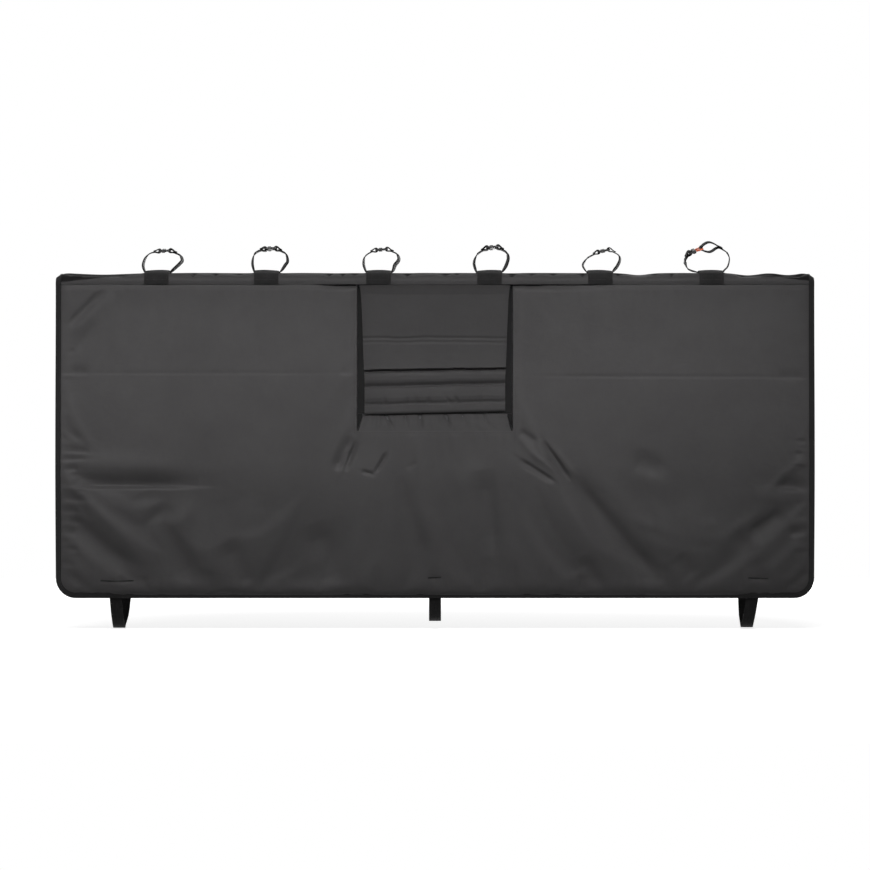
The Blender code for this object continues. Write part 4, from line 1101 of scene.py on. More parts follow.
fit(facing, recess_darkened_cloth, "cover_fabric", "window_facing")
# Near-black cloth laid where the recess behind the flap is deepest: painted shade.
near_black_shade_cloth = cloth_material(
    "near-black painted shade cloth", (0.0035, 0.0034, 0.0035), (0.0058, 0.0056, 0.0058),
    1100.0, 0.00010, 0.0006, 0.6, 0.0,
)
facing.data.materials.append(near_black_shade_cloth)
# The facing's last rows at both bottom corners take the near-black cloth as painted shade.
side_rows = int(np.sum(facing_path[:, 2] > 0))
for row in (side_rows - 1, side_rows + len(sill_x) - 1):
    for column in range(len(depth_share) - 1):
        facing.data.polygons[row * (len(depth_share) - 1) + column].material_index = 1

# Near-black strips beside the flap and in the sill's corners: painted shade in the gaps.
for kind, near, far, low, high, base in (
    ("turned", 0.0024, 0.0240, -sill_top + 0.0004, -seam_span - 0.004, 0.0004),
    ("corner", 0.0006, 0.0115, -window_span + 0.0006, -sill_top - 0.0004, foam_base),
):
    for side, first, last in (
        ("left", window_left + near, window_left + far),
        ("right", window_right - far, window_right - near),
    ):
        across = ruled([first, last], 0.004)
        along = ruled([low, high], 0.004)
        grid_x, grid_s = np.meshgrid(across, along)
        edge_cloth = double_skin(
            f"{kind}_edge_{side}",
            across,
            along,
            wrapped(grid_x, grid_s, np.full_like(grid_x, base + 0.0006)),
            wrapped(grid_x, grid_s, np.full_like(grid_x, base)),
        )
        fit(edge_cloth, near_black_shade_cloth, "cover_fabric")

# The flange above the sill takes the near-black cloth too, as painted shade under the flap.
flange_left, flange_right = window_left + 0.0023, window_right - 0.0023
across = ruled([flange_left, flange_right], 0.006)
along = ruled([-sill_top + gap, -sill_top + 0.0263], 0.003)
grid_x, grid_s = np.meshgrid(across, along)
flange_waves = 0.0002 * uneven(grid_x, grid_s, 0.02, 0.02, 5.1)
flange = double_skin(
    "sill_flange_cloth",
    across,
    along,
    wrapped(grid_x, grid_s, foam_base + cloth_thickness + flange_waves),
    wrapped(grid_x, grid_s, foam_base + flange_waves),
)
fit(flange, near_black_shade_cloth, "cover_fabric", "sill_flange")


# Access flap: one layer of the same cloth that hangs from the band seam over the window. It was
# folded into pleats for packing, and its ends curl back from the window's sides.
flap_shape = np.array(
    (
        (0.0003, 0.0143),
        (0.005, 0.0130),
        (0.020, 0.0108),
        (0.050, 0.0105),
        (0.098, 0.0104),
        (0.1050, 0.0104),
        (0.1090, 0.0088),
        (0.1135, 0.0098),
        (0.1175, 0.0090),
        (0.1225, 0.0098),
        (0.140, 0.0098),
        (0.164, 0.0106),
        (0.1715, 0.0112),
        (0.1738, 0.0030),
        (0.1762, 0.0028),
        (0.1790, 0.0094),
        (0.1850, 0.0104),
        (0.1930, 0.0104),
        (0.1975, 0.0094),
        (0.2040, 0.0044),
        (0.2062, 0.0042),
        (0.2090, 0.0094),
        (0.2180, 0.0104),
        (0.2290, 0.0110),
        (0.2360, 0.0102),
        (0.2405, 0.0074),
        (0.2425, 0.0074),
        (0.2455, 0.0100),
        (0.2570, 0.0106),
        (0.2605, 0.0096),
        (0.2620, 0.0078),
    )
)
flap_margin = 0.004
flap_left = window_left + lining_margin + flap_margin
flap_right = window_right - lining_margin - flap_margin
flap_middle = (flap_left + flap_right) / 2
flap_half = (flap_right - flap_left) / 2
flap_drop = flap_shape[-1, 0]
over_tapes = 0.225
last_pleat = 0.2375
across = ruled([flap_left, flap_right], 0.0030)
along = -seam_span - ruled([flap_drop, flap_shape[0, 0]], 0.0012)
grid_x, grid_s = np.meshgrid(across, along)
drop = -grid_s - seam_span
wobble = 0.0016 * uneven(grid_x, grid_s, 0.055, 0.05, 4.4)
wobble = wobble + 0.0007 * uneven(grid_x, grid_s, 0.016, 0.030, 2.9)
settled = ramp(drop / 0.03) * ramp((flap_drop - drop) / 0.012)
height = np.interp(drop + wobble * settled, flap_shape[:, 0], flap_shape[:, 1])
height += settled * (0.0005 * uneven(grid_x, grid_s, 0.09, 0.06, 9.9))
for pucker_x, lean, depth in (
    (-0.108, 0.002, 0.0030),
    (-0.064, -0.004, 0.0022),
    (-0.040, 0.003, 0.0022),
    (-0.014, 0.001, 0.0030),
    (0.032, 0.010, 0.0026),
    (0.048, 0.006, 0.0034),
    (0.096, -0.003, 0.0016),
):
    aside = grid_x - pucker_x - lean * (drop - 0.24) / 0.015
    height -= depth * bell(aside, 0.0030) * bell(drop - last_pleat, 0.0080)
height -= 0.0030 * (np.abs(grid_x - flap_middle) / flap_half) ** 10
height = np.maximum(height, np.where(drop > over_tapes, 0.0062, 0.0018))
narrow = np.interp(
    drop, [0.0, 0.03, 0.09, 0.15, 0.19, flap_drop], [0.0, 0.0030, 0.0056, 0.0075, 0.0098, 0.0098]
)
flap_x = flap_middle + (grid_x - flap_middle) * (1 - narrow / flap_half)
slant = 0.0034 * (grid_x - flap_middle) / flap_half * ramp((drop - 0.13) / 0.07)
access_flap = double_skin(
    "access_flap_cloth",
    across,
    along,
    wrapped(flap_x, grid_s + slant, height),
    wrapped(flap_x, grid_s + slant, height - 0.0011),
)
# The flap takes that darker copy of the cover's cloth, as painted shade in the recess.
fit(access_flap, recess_darkened_cloth, "flap_fabric", "access_flap")

tape_material = cloth_material(
    "hook and loop tape", (0.014, 0.014, 0.0145), (0.024, 0.024, 0.025), 650.0, 0.0006, 0.0004, 0.9, 0.05
)
tape_left = flap_left + 0.0453
tape_right = flap_right - 0.0453
tape_height = 0.016
tape_thickness = 0.0015
tape_low = sill_top - 0.0015 - gap
for name, node, base in (
    ("hook_tape", "flap_hook_tape", foam_base + cloth_thickness + gap),
    ("loop_tape", "flap_loop_tape", foam_base + cloth_thickness + 2 * gap + tape_thickness),
):
    across = ruled([tape_left, tape_right], 0.004)
    along = ruled([-tape_low, -tape_low + tape_height], 0.002)
    grid_x, grid_s = np.meshgrid(across, along)
    from_end = np.minimum(grid_x - tape_left, tape_right - grid_x)
    nearest = np.minimum(from_end, np.minimum(grid_s + tape_low, tape_height - tape_low - grid_s))
    pile = tape_thickness - 0.0006 * np.exp(-np.maximum(nearest, 0.0) / 0.0012)
    backing = wrapped(grid_x, grid_s, np.full_like(grid_x, base))
    tape = double_skin(name, across, along, wrapped(grid_x, grid_s, base + pile), backing)
    fit(tape, tape_material, "hook_tape", node)


# Strap tabs: six pieces of 50 mm webbing sewn over the band from seam to seam. Each is left open under
# its middle as a tunnel for the bike strap, and stands up there in a low hump.
def webbing_material(name, dark, light):
    """Heavy woven webbing: ribs across the width that lean one way and then the other."""
    webbing, tree, shader, where = new_finish(
        name, Roughness=0.6, Specular_IOR_Level=0.09, Sheen_Weight=0.02
    )
    rib_pitch, rib_lean = 0.0015, 0.0031
    parts = node_of(tree, "ShaderNodeSeparateXYZ")
    lean = node_of(tree, "ShaderNodeMath", operation="PINGPONG")
    lean.inputs[1].default_value = rib_lean
    rib = node_of(tree, "ShaderNodeMath", operation="ADD")
    turn = node_of(tree, "ShaderNodeMath", operation="MULTIPLY")
    turn.inputs[1].default_value = 2 * math.pi / rib_pitch
    wave = node_of(tree, "ShaderNodeMath", operation="SINE")
    weave = node_of(tree, "ShaderNodeGroup", node_tree=weave_group, Threads=1250.0)
    worn = node_of(tree, "ShaderNodeGroup", node_tree=handled_group, Size=40.0)
    spread = node_of(tree, "ShaderNodeMapRange", From_Min=0.35, From_Max=0.65)
    ribs = node_of(tree, "ShaderNodeBump", Strength=0.6, Distance=0.00035)
    threads = node_of(tree, "ShaderNodeBump", Strength=0.4, Distance=0.00015)
    wire(
        tree,
        (where, "UV", parts, 0),
        (parts, "X", lean, 0),
        (parts, "Y", rib, 0),
        (lean, 0, rib, 1),
        (rib, 0, turn, 0),
        (turn, 0, wave, 0),
        (where, "UV", weave, "Position"),
        (where, "Object", worn, "Position"),
        (worn, "Cloud", spread, "Value"),
        (wave, 0, ribs, "Height"),
        (weave, "Height", threads, "Height"),
        (ribs, "Normal", threads, "Normal"),
        (threads, "Normal", shader, "Normal"),
    )
    shaded(tree, shader, spread.outputs["Result"], dark, light)
    return webbing


tab_webbing = webbing_material("wide black webbing", (0.0165, 0.0160, 0.0163), (0.0250, 0.0240, 0.0245))
strap_webbing = webbing_material("black strap webbing", (0.0040, 0.0039, 0.0041), (0.0080, 0.0078, 0.0080))
tunnel = 0.0135
tunnel_ramp = 0.004
selvage_start = 0.0238
for index, middle in enumerate(tab_places, start=1):
    edges = [middle - half_tab, middle - selvage_start, middle + selvage_start, middle + half_tab]
    across = ruled(edges, 0.0025)
    half_stops = [tunnel, tunnel + tunnel_ramp, half_flat, bend_end, seam_span - gap]
    along = ruled([-stop for stop in half_stops[::-1]] + half_stops, 0.0015)
    grid_x, grid_s = np.meshgrid(across, along)
    tilt = 0.0007 * math.sin(2.1 * index) * (grid_x - middle) / half_tab
    hump = 0.0042 - 0.0014 * ((grid_x - middle) / half_tab) ** 2 + tilt
    raised = hump * ramp((0.0215 - np.abs(grid_s)) / 0.008)
    raised = raised + 0.00012 * uneven(grid_x, grid_s, 0.012, 0.012, 0.7 * index) + plump_bend(grid_s)
    selvage = 0.0004 * ramp((np.abs(grid_x - middle) - selvage_start) / 0.0012)
    tab = double_skin(
        f"wide_tab_{index}",
        across - middle,
        along,
        wrapped(grid_x, grid_s, shell + gap + raised + 0.0014 - selvage),
        wrapped(grid_x, grid_s, shell + gap + raised + 0.0002),
    )
    fit(tab, tab_webbing, "webbing", f"strap_tab_{index}")


# Bike straps: 25 mm webbing through each tab, folded and sewn round the bars of a side-release buckle.
# They were squeezed flat in the packing, so each stands up in its own crooked loop with its buckle rolled
# a little, and the sixth buckle isn't pushed quite home.
strap_width = 0.025
webbing_thickness = 0.0022
eye_radius = 0.0037
fold_ease = 0.010
across_y = Vector((0.0, 1.0, 0.0))
# Millimetres from the tab's middle and the band's top: the socket's bar, the plug's bar, and the points
# that the strap passes on its way down from the socket and up to the plug.
bike_straps = {
    1: ((3, 45), (26, 46), ((-13, 42), (-25, 31), (-30, 15)), ((32, 7), (46, 20), (50, 27), (44, 38))),
    2: ((-4, 49), (19, 50), ((-17, 46), (-27, 36), (-30, 19)), ((31, 7), (37, 16), (42, 25), (37, 41))),
    3: ((-6, 47), (17, 49), ((-18, 43), (-29, 32), (-31, 17)), ((30, 7), (33, 16), (41, 28), (35, 41))),
    4: ((-5, 51), (18, 53), ((-17, 45), (-27, 34), (-31, 19)), ((30, 7), (35, 16), (39, 31), (34, 44))),
    5: ((-3, 43), (20, 48), ((-14, 38), (-27, 28), (-34, 15)), ((30, 6), (37, 15), (42, 28), (37, 39))),
    6: (
        (-38, 43), (-17, 51), ((-49, 34), (-52, 24), (-45, 8)),
        ((29, 6), (36, 14), (39, 31), (31, 45), (13, 54)),
    ),
}
buckle_rolls = {1: 0.09, 2: -0.07, 3: 0.08, 4: -0.08, 5: 0.07, 6: 0.17}
socket_slip = 0.0050
strap_twists = {
    1: (0.13, -0.15), 2: (-0.20, 0.24), 3: (0.16, -0.22), 4: (-0.17, 0.20), 5: (0.15, -0.20), 6: (0.16, 0.06)
}


def strap_place(index, spot):
    """A spot of one strap's loop in metres."""
    return Vector((tab_places[index - 1] + spot[0] * 0.001, 0.0, shell + spot[1] * 0.001))


def smooth(points, steps):
    """A curve through the points, in the given steps per stretch."""
    ends = [points[0], *points, points[-1]]
    curve = []
    for first, second, third, fourth in zip(ends, ends[1:], ends[2:], ends[3:]):
        for k in range(steps):
            t = k / steps
            turn = (third - first) * t + (2 * first - 5 * second + 4 * third - fourth) * t**2
            turn += (3 * second - first - 3 * third + fourth) * t**3
            curve.append(second + turn / 2)
    return [*curve, points[-1]]


def sewn_eye(bar, curve, lap, inside, bulge=0.0):
    """The fold round a buckle bar with its sewn tail, and how many of the curve's points it took."""
    spacing = (webbing_thickness + gap) / 2
    outward = (curve[1] - curve[0]).normalized()
    strand, tail = [], []
    used = 0
    for index, point in enumerate(curve):
        along_strap = (point - bar).length
        if along_strap > lap + fold_ease:
            break
        used = index + 1
        ahead = curve[min(index + 1, len(curve) - 1)] - curve[max(index - 1, 0)]
        normal = ahead.normalized().cross(across_y * inside)
        share = min(along_strap / (2.6 * eye_radius), 1.0)
        offset = spacing + (eye_radius - spacing) * (0.5 + 0.5 * math.cos(math.pi * share))
        bulge_share = min(along_strap / (0.8 * lap), 1.0) ** 0.8
        offset += bulge * max(0.0, math.sin(math.pi * bulge_share)) ** 1.3
        if along_strap > lap:
            offset *= max(0.0, 1 - (along_strap - lap) / fold_ease)
        if index:
            strand.append(point + normal * offset)
            if along_strap <= lap:
                tail.append(point - normal * offset)
    side = outward.cross(across_y * inside)
    turns = [math.pi * k / 14 for k in range(15)]
    around_bar = [bar - side * eye_radius * math.cos(t) - outward * eye_radius * math.sin(t) for t in turns]
    return [*reversed(tail), *around_bar, *strand], used


def webbing_band(name, path, across, width, thickness, twists=None):
    """Webbing along a path, with soft edges and its length and width in its UV map."""
    kept = [0] + [k for k in range(1, len(path)) if (path[k] - path[k - 1]).length > 1e-5]
    points = np.array([path[k] for k in kept])
    across = np.broadcast_to(np.array(across), (len(path), 3))[kept]
    twist = np.array(twists)[kept] if twists is not None else np.zeros(len(kept))
    lengths = np.concatenate([[0.0], np.cumsum(np.linalg.norm(np.diff(points, axis=0), axis=1))])
    ahead = np.gradient(points, axis=0)
    ahead /= np.linalg.norm(ahead, axis=1)[:, None]
    level = np.cross(ahead, across)
    level /= np.linalg.norm(level, axis=1)[:, None]
    turned = np.cos(twist)[:, None] * across + np.sin(twist)[:, None] * level
    normal = np.cross(ahead, turned)
    half, flat = width / 2, thickness / 2
    places = np.array([-half + 0.0002, -half + 0.0010, -half / 3, half / 3, half - 0.0010, half - 0.0002])
    thin = np.array([0.35, 0.95, 1.0, 1.0, 0.95, 0.35]) * flat
    u = np.concatenate([places, places[::-1]])
    n = np.concatenate([thin, -thin[::-1]])
    rings = points[:, None, :] + u[None, :, None] * turned[:, None, :] + n[None, :, None] * normal[:, None, :]
    return ring_body(name, rings, u, lengths)


def twist_over(turns, lean, roll, from_buckle):
    """The twist of a free stretch, which starts or ends turned with the roll of its buckle."""
    twists = []
    for k in range(turns):
        to_buckle = 1 - k / turns if from_buckle else k / turns
        twists.append(lean * math.sin(math.pi * k / turns) ** 0.7 - roll * to_buckle**2)
    return twists


for index, (socket, plug, down, up) in bike_straps.items():
    middle = tab_places[index - 1]
    level = shell + gap + webbing_thickness / 2
    base_left = Vector((middle - 0.026, 0.0, level))
    base_right = Vector((middle + 0.026, 0.0, level))
    socket_bar, plug_bar = strap_place(index, socket), strap_place(index, plug)
    axis = (plug_bar - socket_bar).normalized()
    roll = buckle_rolls[index]
    loose = index == 6
    if loose:
        socket_bar = socket_bar - socket_slip * axis
    falling = smooth([socket_bar, *(strap_place(index, spot) for spot in down), base_left], 10)
    climbing = smooth([plug_bar, *(strap_place(index, spot) for spot in reversed(up)), base_right], 10)
    first, used = sewn_eye(socket_bar, falling, 0.012, 1)
    last, taken = sewn_eye(plug_bar, climbing, 0.042 if loose else 0.014, -1, 0.0088 if loose else 0.0)
    under_tab = [base_left.lerp(base_right, k / 8) for k in range(1, 8)]
    path = [*first, *falling[used:], *under_tab, *reversed([*last, *climbing[taken:]])]
    lean_down, lean_up = strap_twists[index]
    twists = [0.0] * len(first)
    twists += twist_over(len(falling) - used, lean_down, roll, True)
    twists += [0.0] * len(under_tab)
    twists += twist_over(len(climbing) - taken, lean_up, roll, False)
    twists += [0.0] * len(last)
    rolled = Matrix.Rotation(roll, 3, axis) @ across_y
    across = [rolled] * len(first) + [across_y] * (len(path) - len(first) - len(last)) + [rolled] * len(last)
    strap = webbing_band(f"bike_strap_webbing_{index}", path, across, strap_width, webbing_thickness, twists)
    fit(strap, strap_webbing, "webbing", f"bike_strap_{index}")


# Buckles: moulded side-release pairs, black but for one orange plug, and ladder buckles on the bed
# side. Each is a single moulding with softened edges and the fine spark-eroded grain of its mould.
def moulded_plastic(name, dark, light, roughness):
    """Moulded acetal: even colour, fine mould grain, scuffs and a soft gloss."""
    plastic, tree, shader, where = new_finish(name, Specular_IOR_Level=0.45)
    grain = node_of(tree, "ShaderNodeTexNoise", Scale=2600.0, Detail=2.0)
    scuffs = node_of(tree, "ShaderNodeTexNoise", Scale=240.0, Detail=5.0, Roughness=0.7)
    gloss = node_of(tree, "ShaderNodeMapRange", To_Min=roughness - 0.08, To_Max=roughness + 0.12)
    bump = node_of(tree, "ShaderNodeBump", Strength=0.3, Distance=0.00008)
    wire(
        tree,
        (where, "Object", grain, "Vector"),
        (where, "Object", scuffs, "Vector"),
        (scuffs, "Fac", gloss, "Value"),
        (gloss, "Result", shader, "Roughness"),
        (grain, "Fac", bump, "Height"),
        (bump, "Normal", shader, "Normal"),
    )
    shaded(tree, shader, scuffs.outputs["Fac"], dark, light)
    return plastic


def moulded(name, node, radius):
    """The CAD node's shape with its edges softened."""
    shape = bmesh.new()
    shape.from_mesh(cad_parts[node].data)
    bmesh.ops.remove_doubles(shape, verts=shape.verts, dist=1e-6)
    bmesh.ops.dissolve_limit(shape, angle_limit=math.radians(1), verts=shape.verts, edges=shape.edges)
    folded = [edge for edge in shape.edges if len(edge.link_faces) == 2]
    sharp = [edge for edge in folded if edge.calc_face_angle() > math.radians(30)]
    bmesh.ops.bevel(shape, geom=sharp, offset=radius, segments=2, affect="EDGES", clamp_overlap=True)
    mesh = bpy.data.meshes.new(name)
    shape.to_mesh(mesh)
    shape.free()
    mesh.shade_smooth()
    mesh.set_sharp_from_angle(angle=math.radians(35))
    piece = bpy.data.objects.new(name, mesh)
    bpy.context.scene.collection.objects.link(piece)
    return piece


black_plastic = moulded_plastic("black moulded acetal", (0.016, 0.016, 0.0165), (0.026, 0.026, 0.027), 0.42)
orange_plastic = moulded_plastic("orange moulded acetal", (0.95, 0.17, 0.075), (1.0, 0.27, 0.13), 0.40)
for index, (socket, plug, _, _) in bike_straps.items():
    loose = index == 6
    socket_bar, plug_bar = strap_place(index, socket), strap_place(index, plug)
    axis = (plug_bar - socket_bar).normalized()
    there, back = Matrix.Translation(socket_bar), Matrix.Translation(-socket_bar)
    rolled = there @ Matrix.Rotation(buckle_rolls[index], 4, axis) @ back
    socket_piece = moulded(f"socket_moulding_{index}", f"buckle_socket_{index}", 0.00045)
    socket_piece.data.transform(Matrix.Translation(-socket_slip * axis if loose else Vector()) @ rolled)
    fit(socket_piece, black_plastic, "buckle_plastic", f"buckle_socket_{index}")
    plug_piece = moulded(f"plug_moulding_{index}", f"buckle_plug_{index}", 0.00035)
    plug_piece.data.transform(rolled)
    plug_plastic, slot = (orange_plastic, "orange_plastic") if loose else (black_plastic, "buckle_plastic")
    fit(plug_piece, plug_plastic, slot, f"buckle_plug_{index}")
for side in ("left", "centre", "right"):
    node = f"ladder_buckle_{side}"
    fit(moulded(f"ladder_moulding_{side}", node, 0.0006), black_plastic, "buckle_plastic", node)


# Stitching: lockstitched polyester thread along the binding, the band's seams, the window's edge and the
# tabs, charcoal on the seams and black elsewhere, and tight bar tacks where the straps below are sewn
# through the front.
def stitch_rows():
    """Lays one small thread over the cloth for every stitch of its guide lines."""
    tree = bpy.data.node_groups.new("stitch rows", "GeometryNodeTree")
    tree.interface.new_socket("Guides", in_out="INPUT", socket_type="NodeSocketGeometry")
    for name, value in (
        ("Pitch", 0.0032), ("Stitch Length", 0.0026), ("Thread Width", 0.0007), ("Thread Height", 0.0006),
    ):
        tree.interface.new_socket(name, in_out="INPUT", socket_type="NodeSocketFloat").default_value = value
    tree.interface.new_socket("Seed", in_out="INPUT", socket_type="NodeSocketInt").default_value = 7
    tree.interface.new_socket("Thread", in_out="INPUT", socket_type="NodeSocketMaterial")
    tree.interface.new_socket("Geometry", in_out="OUTPUT", socket_type="NodeSocketGeometry")
    entry, leave = tree.nodes.new("NodeGroupInput"), tree.nodes.new("NodeGroupOutput")
    lines = tree.nodes.new("GeometryNodeMeshToCurve")
    spaced = node_of(tree, "GeometryNodeResampleCurve", mode="LENGTH")
    knot = tree.nodes.new("GeometryNodeMeshUVSphere")
    knot.inputs["Segments"].default_value = 6
    knot.inputs["Rings"].default_value = 4
    knot.inputs["Radius"].default_value = 0.5
    laid = tree.nodes.new("GeometryNodeTransform")
    laid.inputs["Rotation"].default_value = (0.0, math.pi / 2, 0.0)
    tangent = tree.nodes.new("GeometryNodeInputTangent")
    up = node_of(tree, "GeometryNodeInputNamedAttribute", data_type="FLOAT_VECTOR", Name="up")
    along_line = node_of(tree, "FunctionNodeAlignRotationToVector", axis="X")
    upright = node_of(tree, "FunctionNodeAlignRotationToVector", axis="Z", pivot_axis="X")
    size = tree.nodes.new("ShaderNodeCombineXYZ")
    pulled = node_of(tree, "FunctionNodeRandomValue", data_type="FLOAT")
    pulled.inputs[2].default_value = 0.86
    pulled.inputs[3].default_value = 1.10
    drawn = node_of(tree, "ShaderNodeMath", operation="MULTIPLY")
    sewn = tree.nodes.new("GeometryNodeInstanceOnPoints")
    solid = tree.nodes.new("GeometryNodeRealizeInstances")
    soft = tree.nodes.new("GeometryNodeSetShadeSmooth")
    coloured = tree.nodes.new("GeometryNodeSetMaterial")
    wire(
        tree,
        (entry, "Guides", lines, "Mesh"),
        (lines, "Curve", spaced, "Curve"),
        (entry, "Pitch", spaced, "Length"),
        (knot, "Mesh", laid, "Geometry"),
        (tangent, "Tangent", along_line, "Vector"),
        (along_line, "Rotation", upright, "Rotation"),
        (up, "Attribute", upright, "Vector"),
        (entry, "Seed", pulled, "Seed"),
        (entry, "Stitch Length", drawn, 0),
        (pulled, 1, drawn, 1),
        (drawn, 0, size, "X"),
        (entry, "Thread Width", size, "Y"),
        (entry, "Thread Height", size, "Z"),
        (spaced, "Curve", sewn, "Points"),
        (laid, "Geometry", sewn, "Instance"),
        (upright, "Rotation", sewn, "Rotation"),
        (size, "Vector", sewn, "Scale"),
        (sewn, "Instances", solid, "Geometry"),
        (solid, "Geometry", soft, "Geometry"),
        (soft, "Geometry", coloured, "Geometry"),
        (entry, "Thread", coloured, "Material"),
        (coloured, "Geometry", leave, "Geometry"),
    )
    return tree


def thread_material(name, colour):
    """Polyester thread: a slight gloss and the fine cross ridges of its twist."""
    thread, tree, shader, where = new_finish(name, Roughness=0.5, Specular_IOR_Level=0.25)
    fibres = node_of(tree, "ShaderNodeTexNoise", Scale=1500.0, Detail=2.0)
    bump = node_of(tree, "ShaderNodeBump", Strength=0.4, Distance=0.0001)
    wire(
        tree,
        (where, "Object", fibres, "Vector"),
        (fibres, "Fac", bump, "Height"),
        (bump, "Normal", shader, "Normal"),
    )
    shaded(tree, shader, fibres.outputs["Fac"], [0.7 * value for value in colour], colour)
    return thread


stitching = stitch_rows()


def sewing_line(x, s, height):
    """A guide over the wrap: its points and the way up from the cloth at each."""
    x, s, height = np.broadcast_arrays(x, s, height)
    points = wrapped(x, s, height)
    up = wrapped(x, s, height + 0.001) - points
    return points, up / np.linalg.norm(up, axis=-1)[..., None]


def sew(name, guides, thread, slot, sizes):
    """Stitches along guide lines, each a pair of points and upward directions."""
    mesh = bpy.data.meshes.new(name + "_guide")
    starts = np.cumsum([0] + [len(points) for points, _ in guides])
    edges = [(k, k + 1) for first, last in zip(starts, starts[1:]) for k in range(first, last - 1)]
    mesh.from_pydata(np.concatenate([points for points, _ in guides]).tolist(), edges, [])
    upward = mesh.attributes.new("up", "FLOAT_VECTOR", "POINT")
    upward.data.foreach_set("vector", np.concatenate([ups for _, ups in guides]).ravel())
    guide = bpy.data.objects.new(name + "_guide", mesh)
    bpy.context.scene.collection.objects.link(guide)
    rows = guide.modifiers.new("stitches", "NODES")
    rows.node_group = stitching
    for socket in stitching.interface.items_tree:
        if socket.in_out == "INPUT" and socket.name in sizes:
            rows[socket.identifier] = sizes[socket.name]
        if socket.name == "Thread":
            rows[socket.identifier] = thread
    made = bpy.data.meshes.new_from_object(guide.evaluated_get(bpy.context.evaluated_depsgraph_get()))
    guide.modifiers.remove(rows)
    bpy.data.objects.remove(guide)
    piece = bpy.data.objects.new(name, made)
    bpy.context.scene.collection.objects.link(piece)
    fit(piece, thread, slot)


black_thread = thread_material("black thread", (0.020, 0.0195, 0.020))
charcoal_thread = thread_material("charcoal thread", (0.052, 0.050, 0.051))
plain_stitch = {"Pitch": 0.0033, "Stitch Length": 0.0027, "Thread Width": 0.0007, "Thread Height": 0.0006}
row_inset = binding_leg - 0.0026
ring = np.concatenate([stations, stations[:1]])
ring_step = np.concatenate([press, press[:1]])
rim_slope = (shell - rim_height - ring_step) * float(rounding(rim_width, rim_shoulder)) / rim_width
ring_height = rim_height + ring_step + 2 * gap + rim_slope * row_inset + 1.25 * binding
row_x, row_s = ring[:, 0] + ring[:, 2] * row_inset, ring[:, 1] + ring[:, 3] * row_inset
binding_row = sewing_line(row_x, row_s, ring_height)
sew("binding_stitches", [binding_row], black_thread, "binding_tape", plain_stitch)

over_cloth = 0.0001
seam_inset = 0.0030
seam_rows = []
tab_sides = [x + side * 0.0265 for x in tab_places for side in (-1, 1)]
row_ends = [-half_length + 0.014] + tab_sides + [half_length - 0.014]
for first, last in zip(row_ends[::2], row_ends[1::2]):
    row_x = np.linspace(first, last, max(2, round((last - first) / 0.004)))
    for row_s in (-seam_span + seam_inset, seam_span - seam_inset):
        row_s = np.full_like(row_x, row_s)
        seam_rows.append(sewing_line(row_x, row_s, band_height(row_x, row_s) + over_cloth))
window_inset = 0.0040
down_s = np.linspace(-seam_span - 0.004, -window_span - window_inset, 100)
sill_row_x = np.linspace(window_left - window_inset, window_right + window_inset, 110)
left_row_x, right_row_x = np.full_like(down_s, sill_row_x[0]), np.full_like(down_s, sill_row_x[-1])
window_row_x = np.concatenate([left_row_x, sill_row_x[1:-1], right_row_x])
window_row_s = np.concatenate([down_s, np.full(len(sill_row_x) - 2, down_s[-1]), down_s[::-1]])
window_row = sewing_line(window_row_x, window_row_s, on_cover(window_row_x, window_row_s) + over_cloth)
sew("seam_stitches", seam_rows, charcoal_thread, "cover_fabric", plain_stitch)
sew("window_stitches", [window_row], black_thread, "cover_fabric", plain_stitch)

tab_rows = []
box_low, box_high = seam_span - gap - 0.0036, tunnel + 0.0080
half_box = 0.0205
rise = np.linspace(0.0, 1.0, 8)
box_x = [np.linspace(-1, 1, 12), np.full(8, 1.0), np.linspace(1, -1, 12), np.full(8, -1.0)]
box_x = np.concatenate(box_x) * half_box
box_s = np.concatenate([np.zeros(12), rise, np.ones(12), rise[::-1]]) * (box_high - box_low) + box_low
box_height = shell + gap + 0.0014 + plump_bend(box_s) + over_cloth
for middle in tab_places:
    for end in (-1, 1):
        tab_rows.append(sewing_line(middle + box_x, end * box_s, box_height))
tab_stitch = {**plain_stitch, "Pitch": 0.0030, "Stitch Length": 0.0024}
sew("tab_stitches", tab_rows, black_thread, "webbing", tab_stitch)

tack_thread = thread_material("dull black thread", (0.006, 0.006, 0.006))
tacks = []
for first, last, level in (
    (-0.6810, -0.6150, -0.6144), (-0.0143, 0.0122, -0.6076), (0.6385, 0.6795, -0.6088),
):
    row_x = np.linspace(first, last, 24)
    row_s = np.full_like(row_x, -span_at(level)) + 0.0006 * np.sin(row_x * 90.0)
    tacks.append(sewing_line(row_x, row_s, on_cover(row_x, row_s) + over_cloth))
sew(
    "bar_tacks",
    tacks,
    tack_thread,
    "webbing",
    {"Pitch": 0.00055, "Stitch Length": 0.00065, "Thread Width": 0.0036, "Thread Height": 0.0014},
)


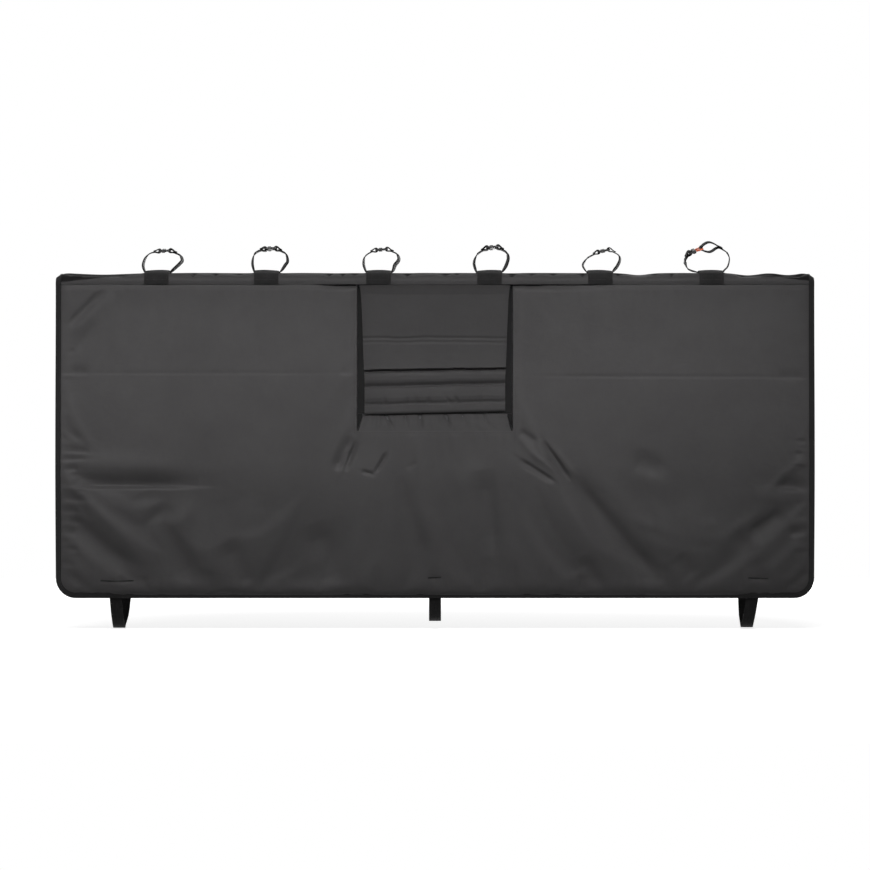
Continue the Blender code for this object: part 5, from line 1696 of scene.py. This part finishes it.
# Tailgate straps: three lengths of 25 mm webbing from the front hem, under the tailgate and up the bed
# side, where a ladder buckle on a short anchor of the same webbing holds each of them.
across_x = Vector((1.0, 0.0, 0.0))
webbing_thickness = 0.0016
rear_face = half_channel + shell + 0.0015 + gap
loop_round = 0.030
bar, slot_width = 0.005, 0.0075
ladder_thickness = 0.004
ladder_above_hem = 0.052
for side, end, inset, swing_low, swing_rear, hang in (
    ("left", -1, 0.121, 0.005, 0.016, 0.063),
    ("centre", 0, 0.0, 0.0, 0.0, 0.049),
    ("right", 1, 0.125, 0.009, 0.013, 0.062),
):
    leaves = end * (half_length - inset)
    swing_low, swing_rear = -end * swing_low, -end * swing_rear
    under = gap + binding + gap + webbing_thickness / 2
    edge = Vector(wrapped(0.0, -front_span, -under))
    sewn = Vector(wrapped(0.0, -front_span + 0.045, -gap - webbing_thickness / 2))
    knee = Vector(wrapped(0.0, -front_span + rim_width + 0.006, -under))
    behind = rear_face + webbing_thickness / 2
    outside = rear_face + webbing_thickness + gap + ladder_thickness + gap + webbing_thickness / 2
    low = hem_level - hang + webbing_thickness / 2
    top = rear_hem_level + ladder_above_hem
    turn_up = top - bar - slot_width + webbing_thickness / 2 + gap

    def at(swing, y, z, leaves=leaves):
        return Vector((leaves + swing, y, z))

    loop = smooth(
        [
            at(0.0, edge.y, edge.z),
            at(0.6 * swing_low, edge.y + loop_round / 30, low + loop_round),
            at(swing_low, edge.y + loop_round / 2, low + loop_round / 4),
            at(swing_low, (edge.y + behind) / 2, low),
            at(swing_low, behind - 0.6 * loop_round, low + loop_round / 5),
            at((swing_low + swing_rear) / 2, behind - loop_round / 10, low + loop_round),
            at(swing_rear, behind, low + 2.7 * loop_round),
        ],
        10,
    )
    path = [at(0.0, sewn.y, sewn.z), at(0.0, knee.y, knee.z), *loop]
    path += [at(swing_rear, behind, rear_hem_level), at(swing_rear, behind, turn_up)]
    path += [at(swing_rear, outside, turn_up), at(swing_rear, outside, top - 3 * bar - 2 * slot_width - bar)]
    path += [at(swing_rear, outside + 0.001, turn_up - 0.045)]
    path += [at(swing_rear, outside - 0.002, turn_up - 0.090)]
    strap = webbing_band(f"tailgate_webbing_{side}", path, across_x, strap_width, webbing_thickness)
    fit(strap, strap_webbing, "webbing", f"tailgate_strap_{side}")

    fold_level = top - bar - gap - webbing_thickness / 2
    doubled = behind + webbing_thickness + gap
    path = [at(swing_rear, behind, top + 0.045), at(swing_rear, behind, fold_level)]
    path += [at(swing_rear, outside, fold_level), at(swing_rear, outside, top + gap)]
    path += [at(swing_rear, doubled, top + 0.01125), at(swing_rear, doubled, top + 0.030)]
    anchor = webbing_band(f"anchor_webbing_{side}", path, across_x, strap_width, webbing_thickness)
    fit(anchor, strap_webbing, "webbing", f"buckle_anchor_{side}")


bpy.context.scene.view_settings.view_transform = "Standard"
low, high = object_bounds()
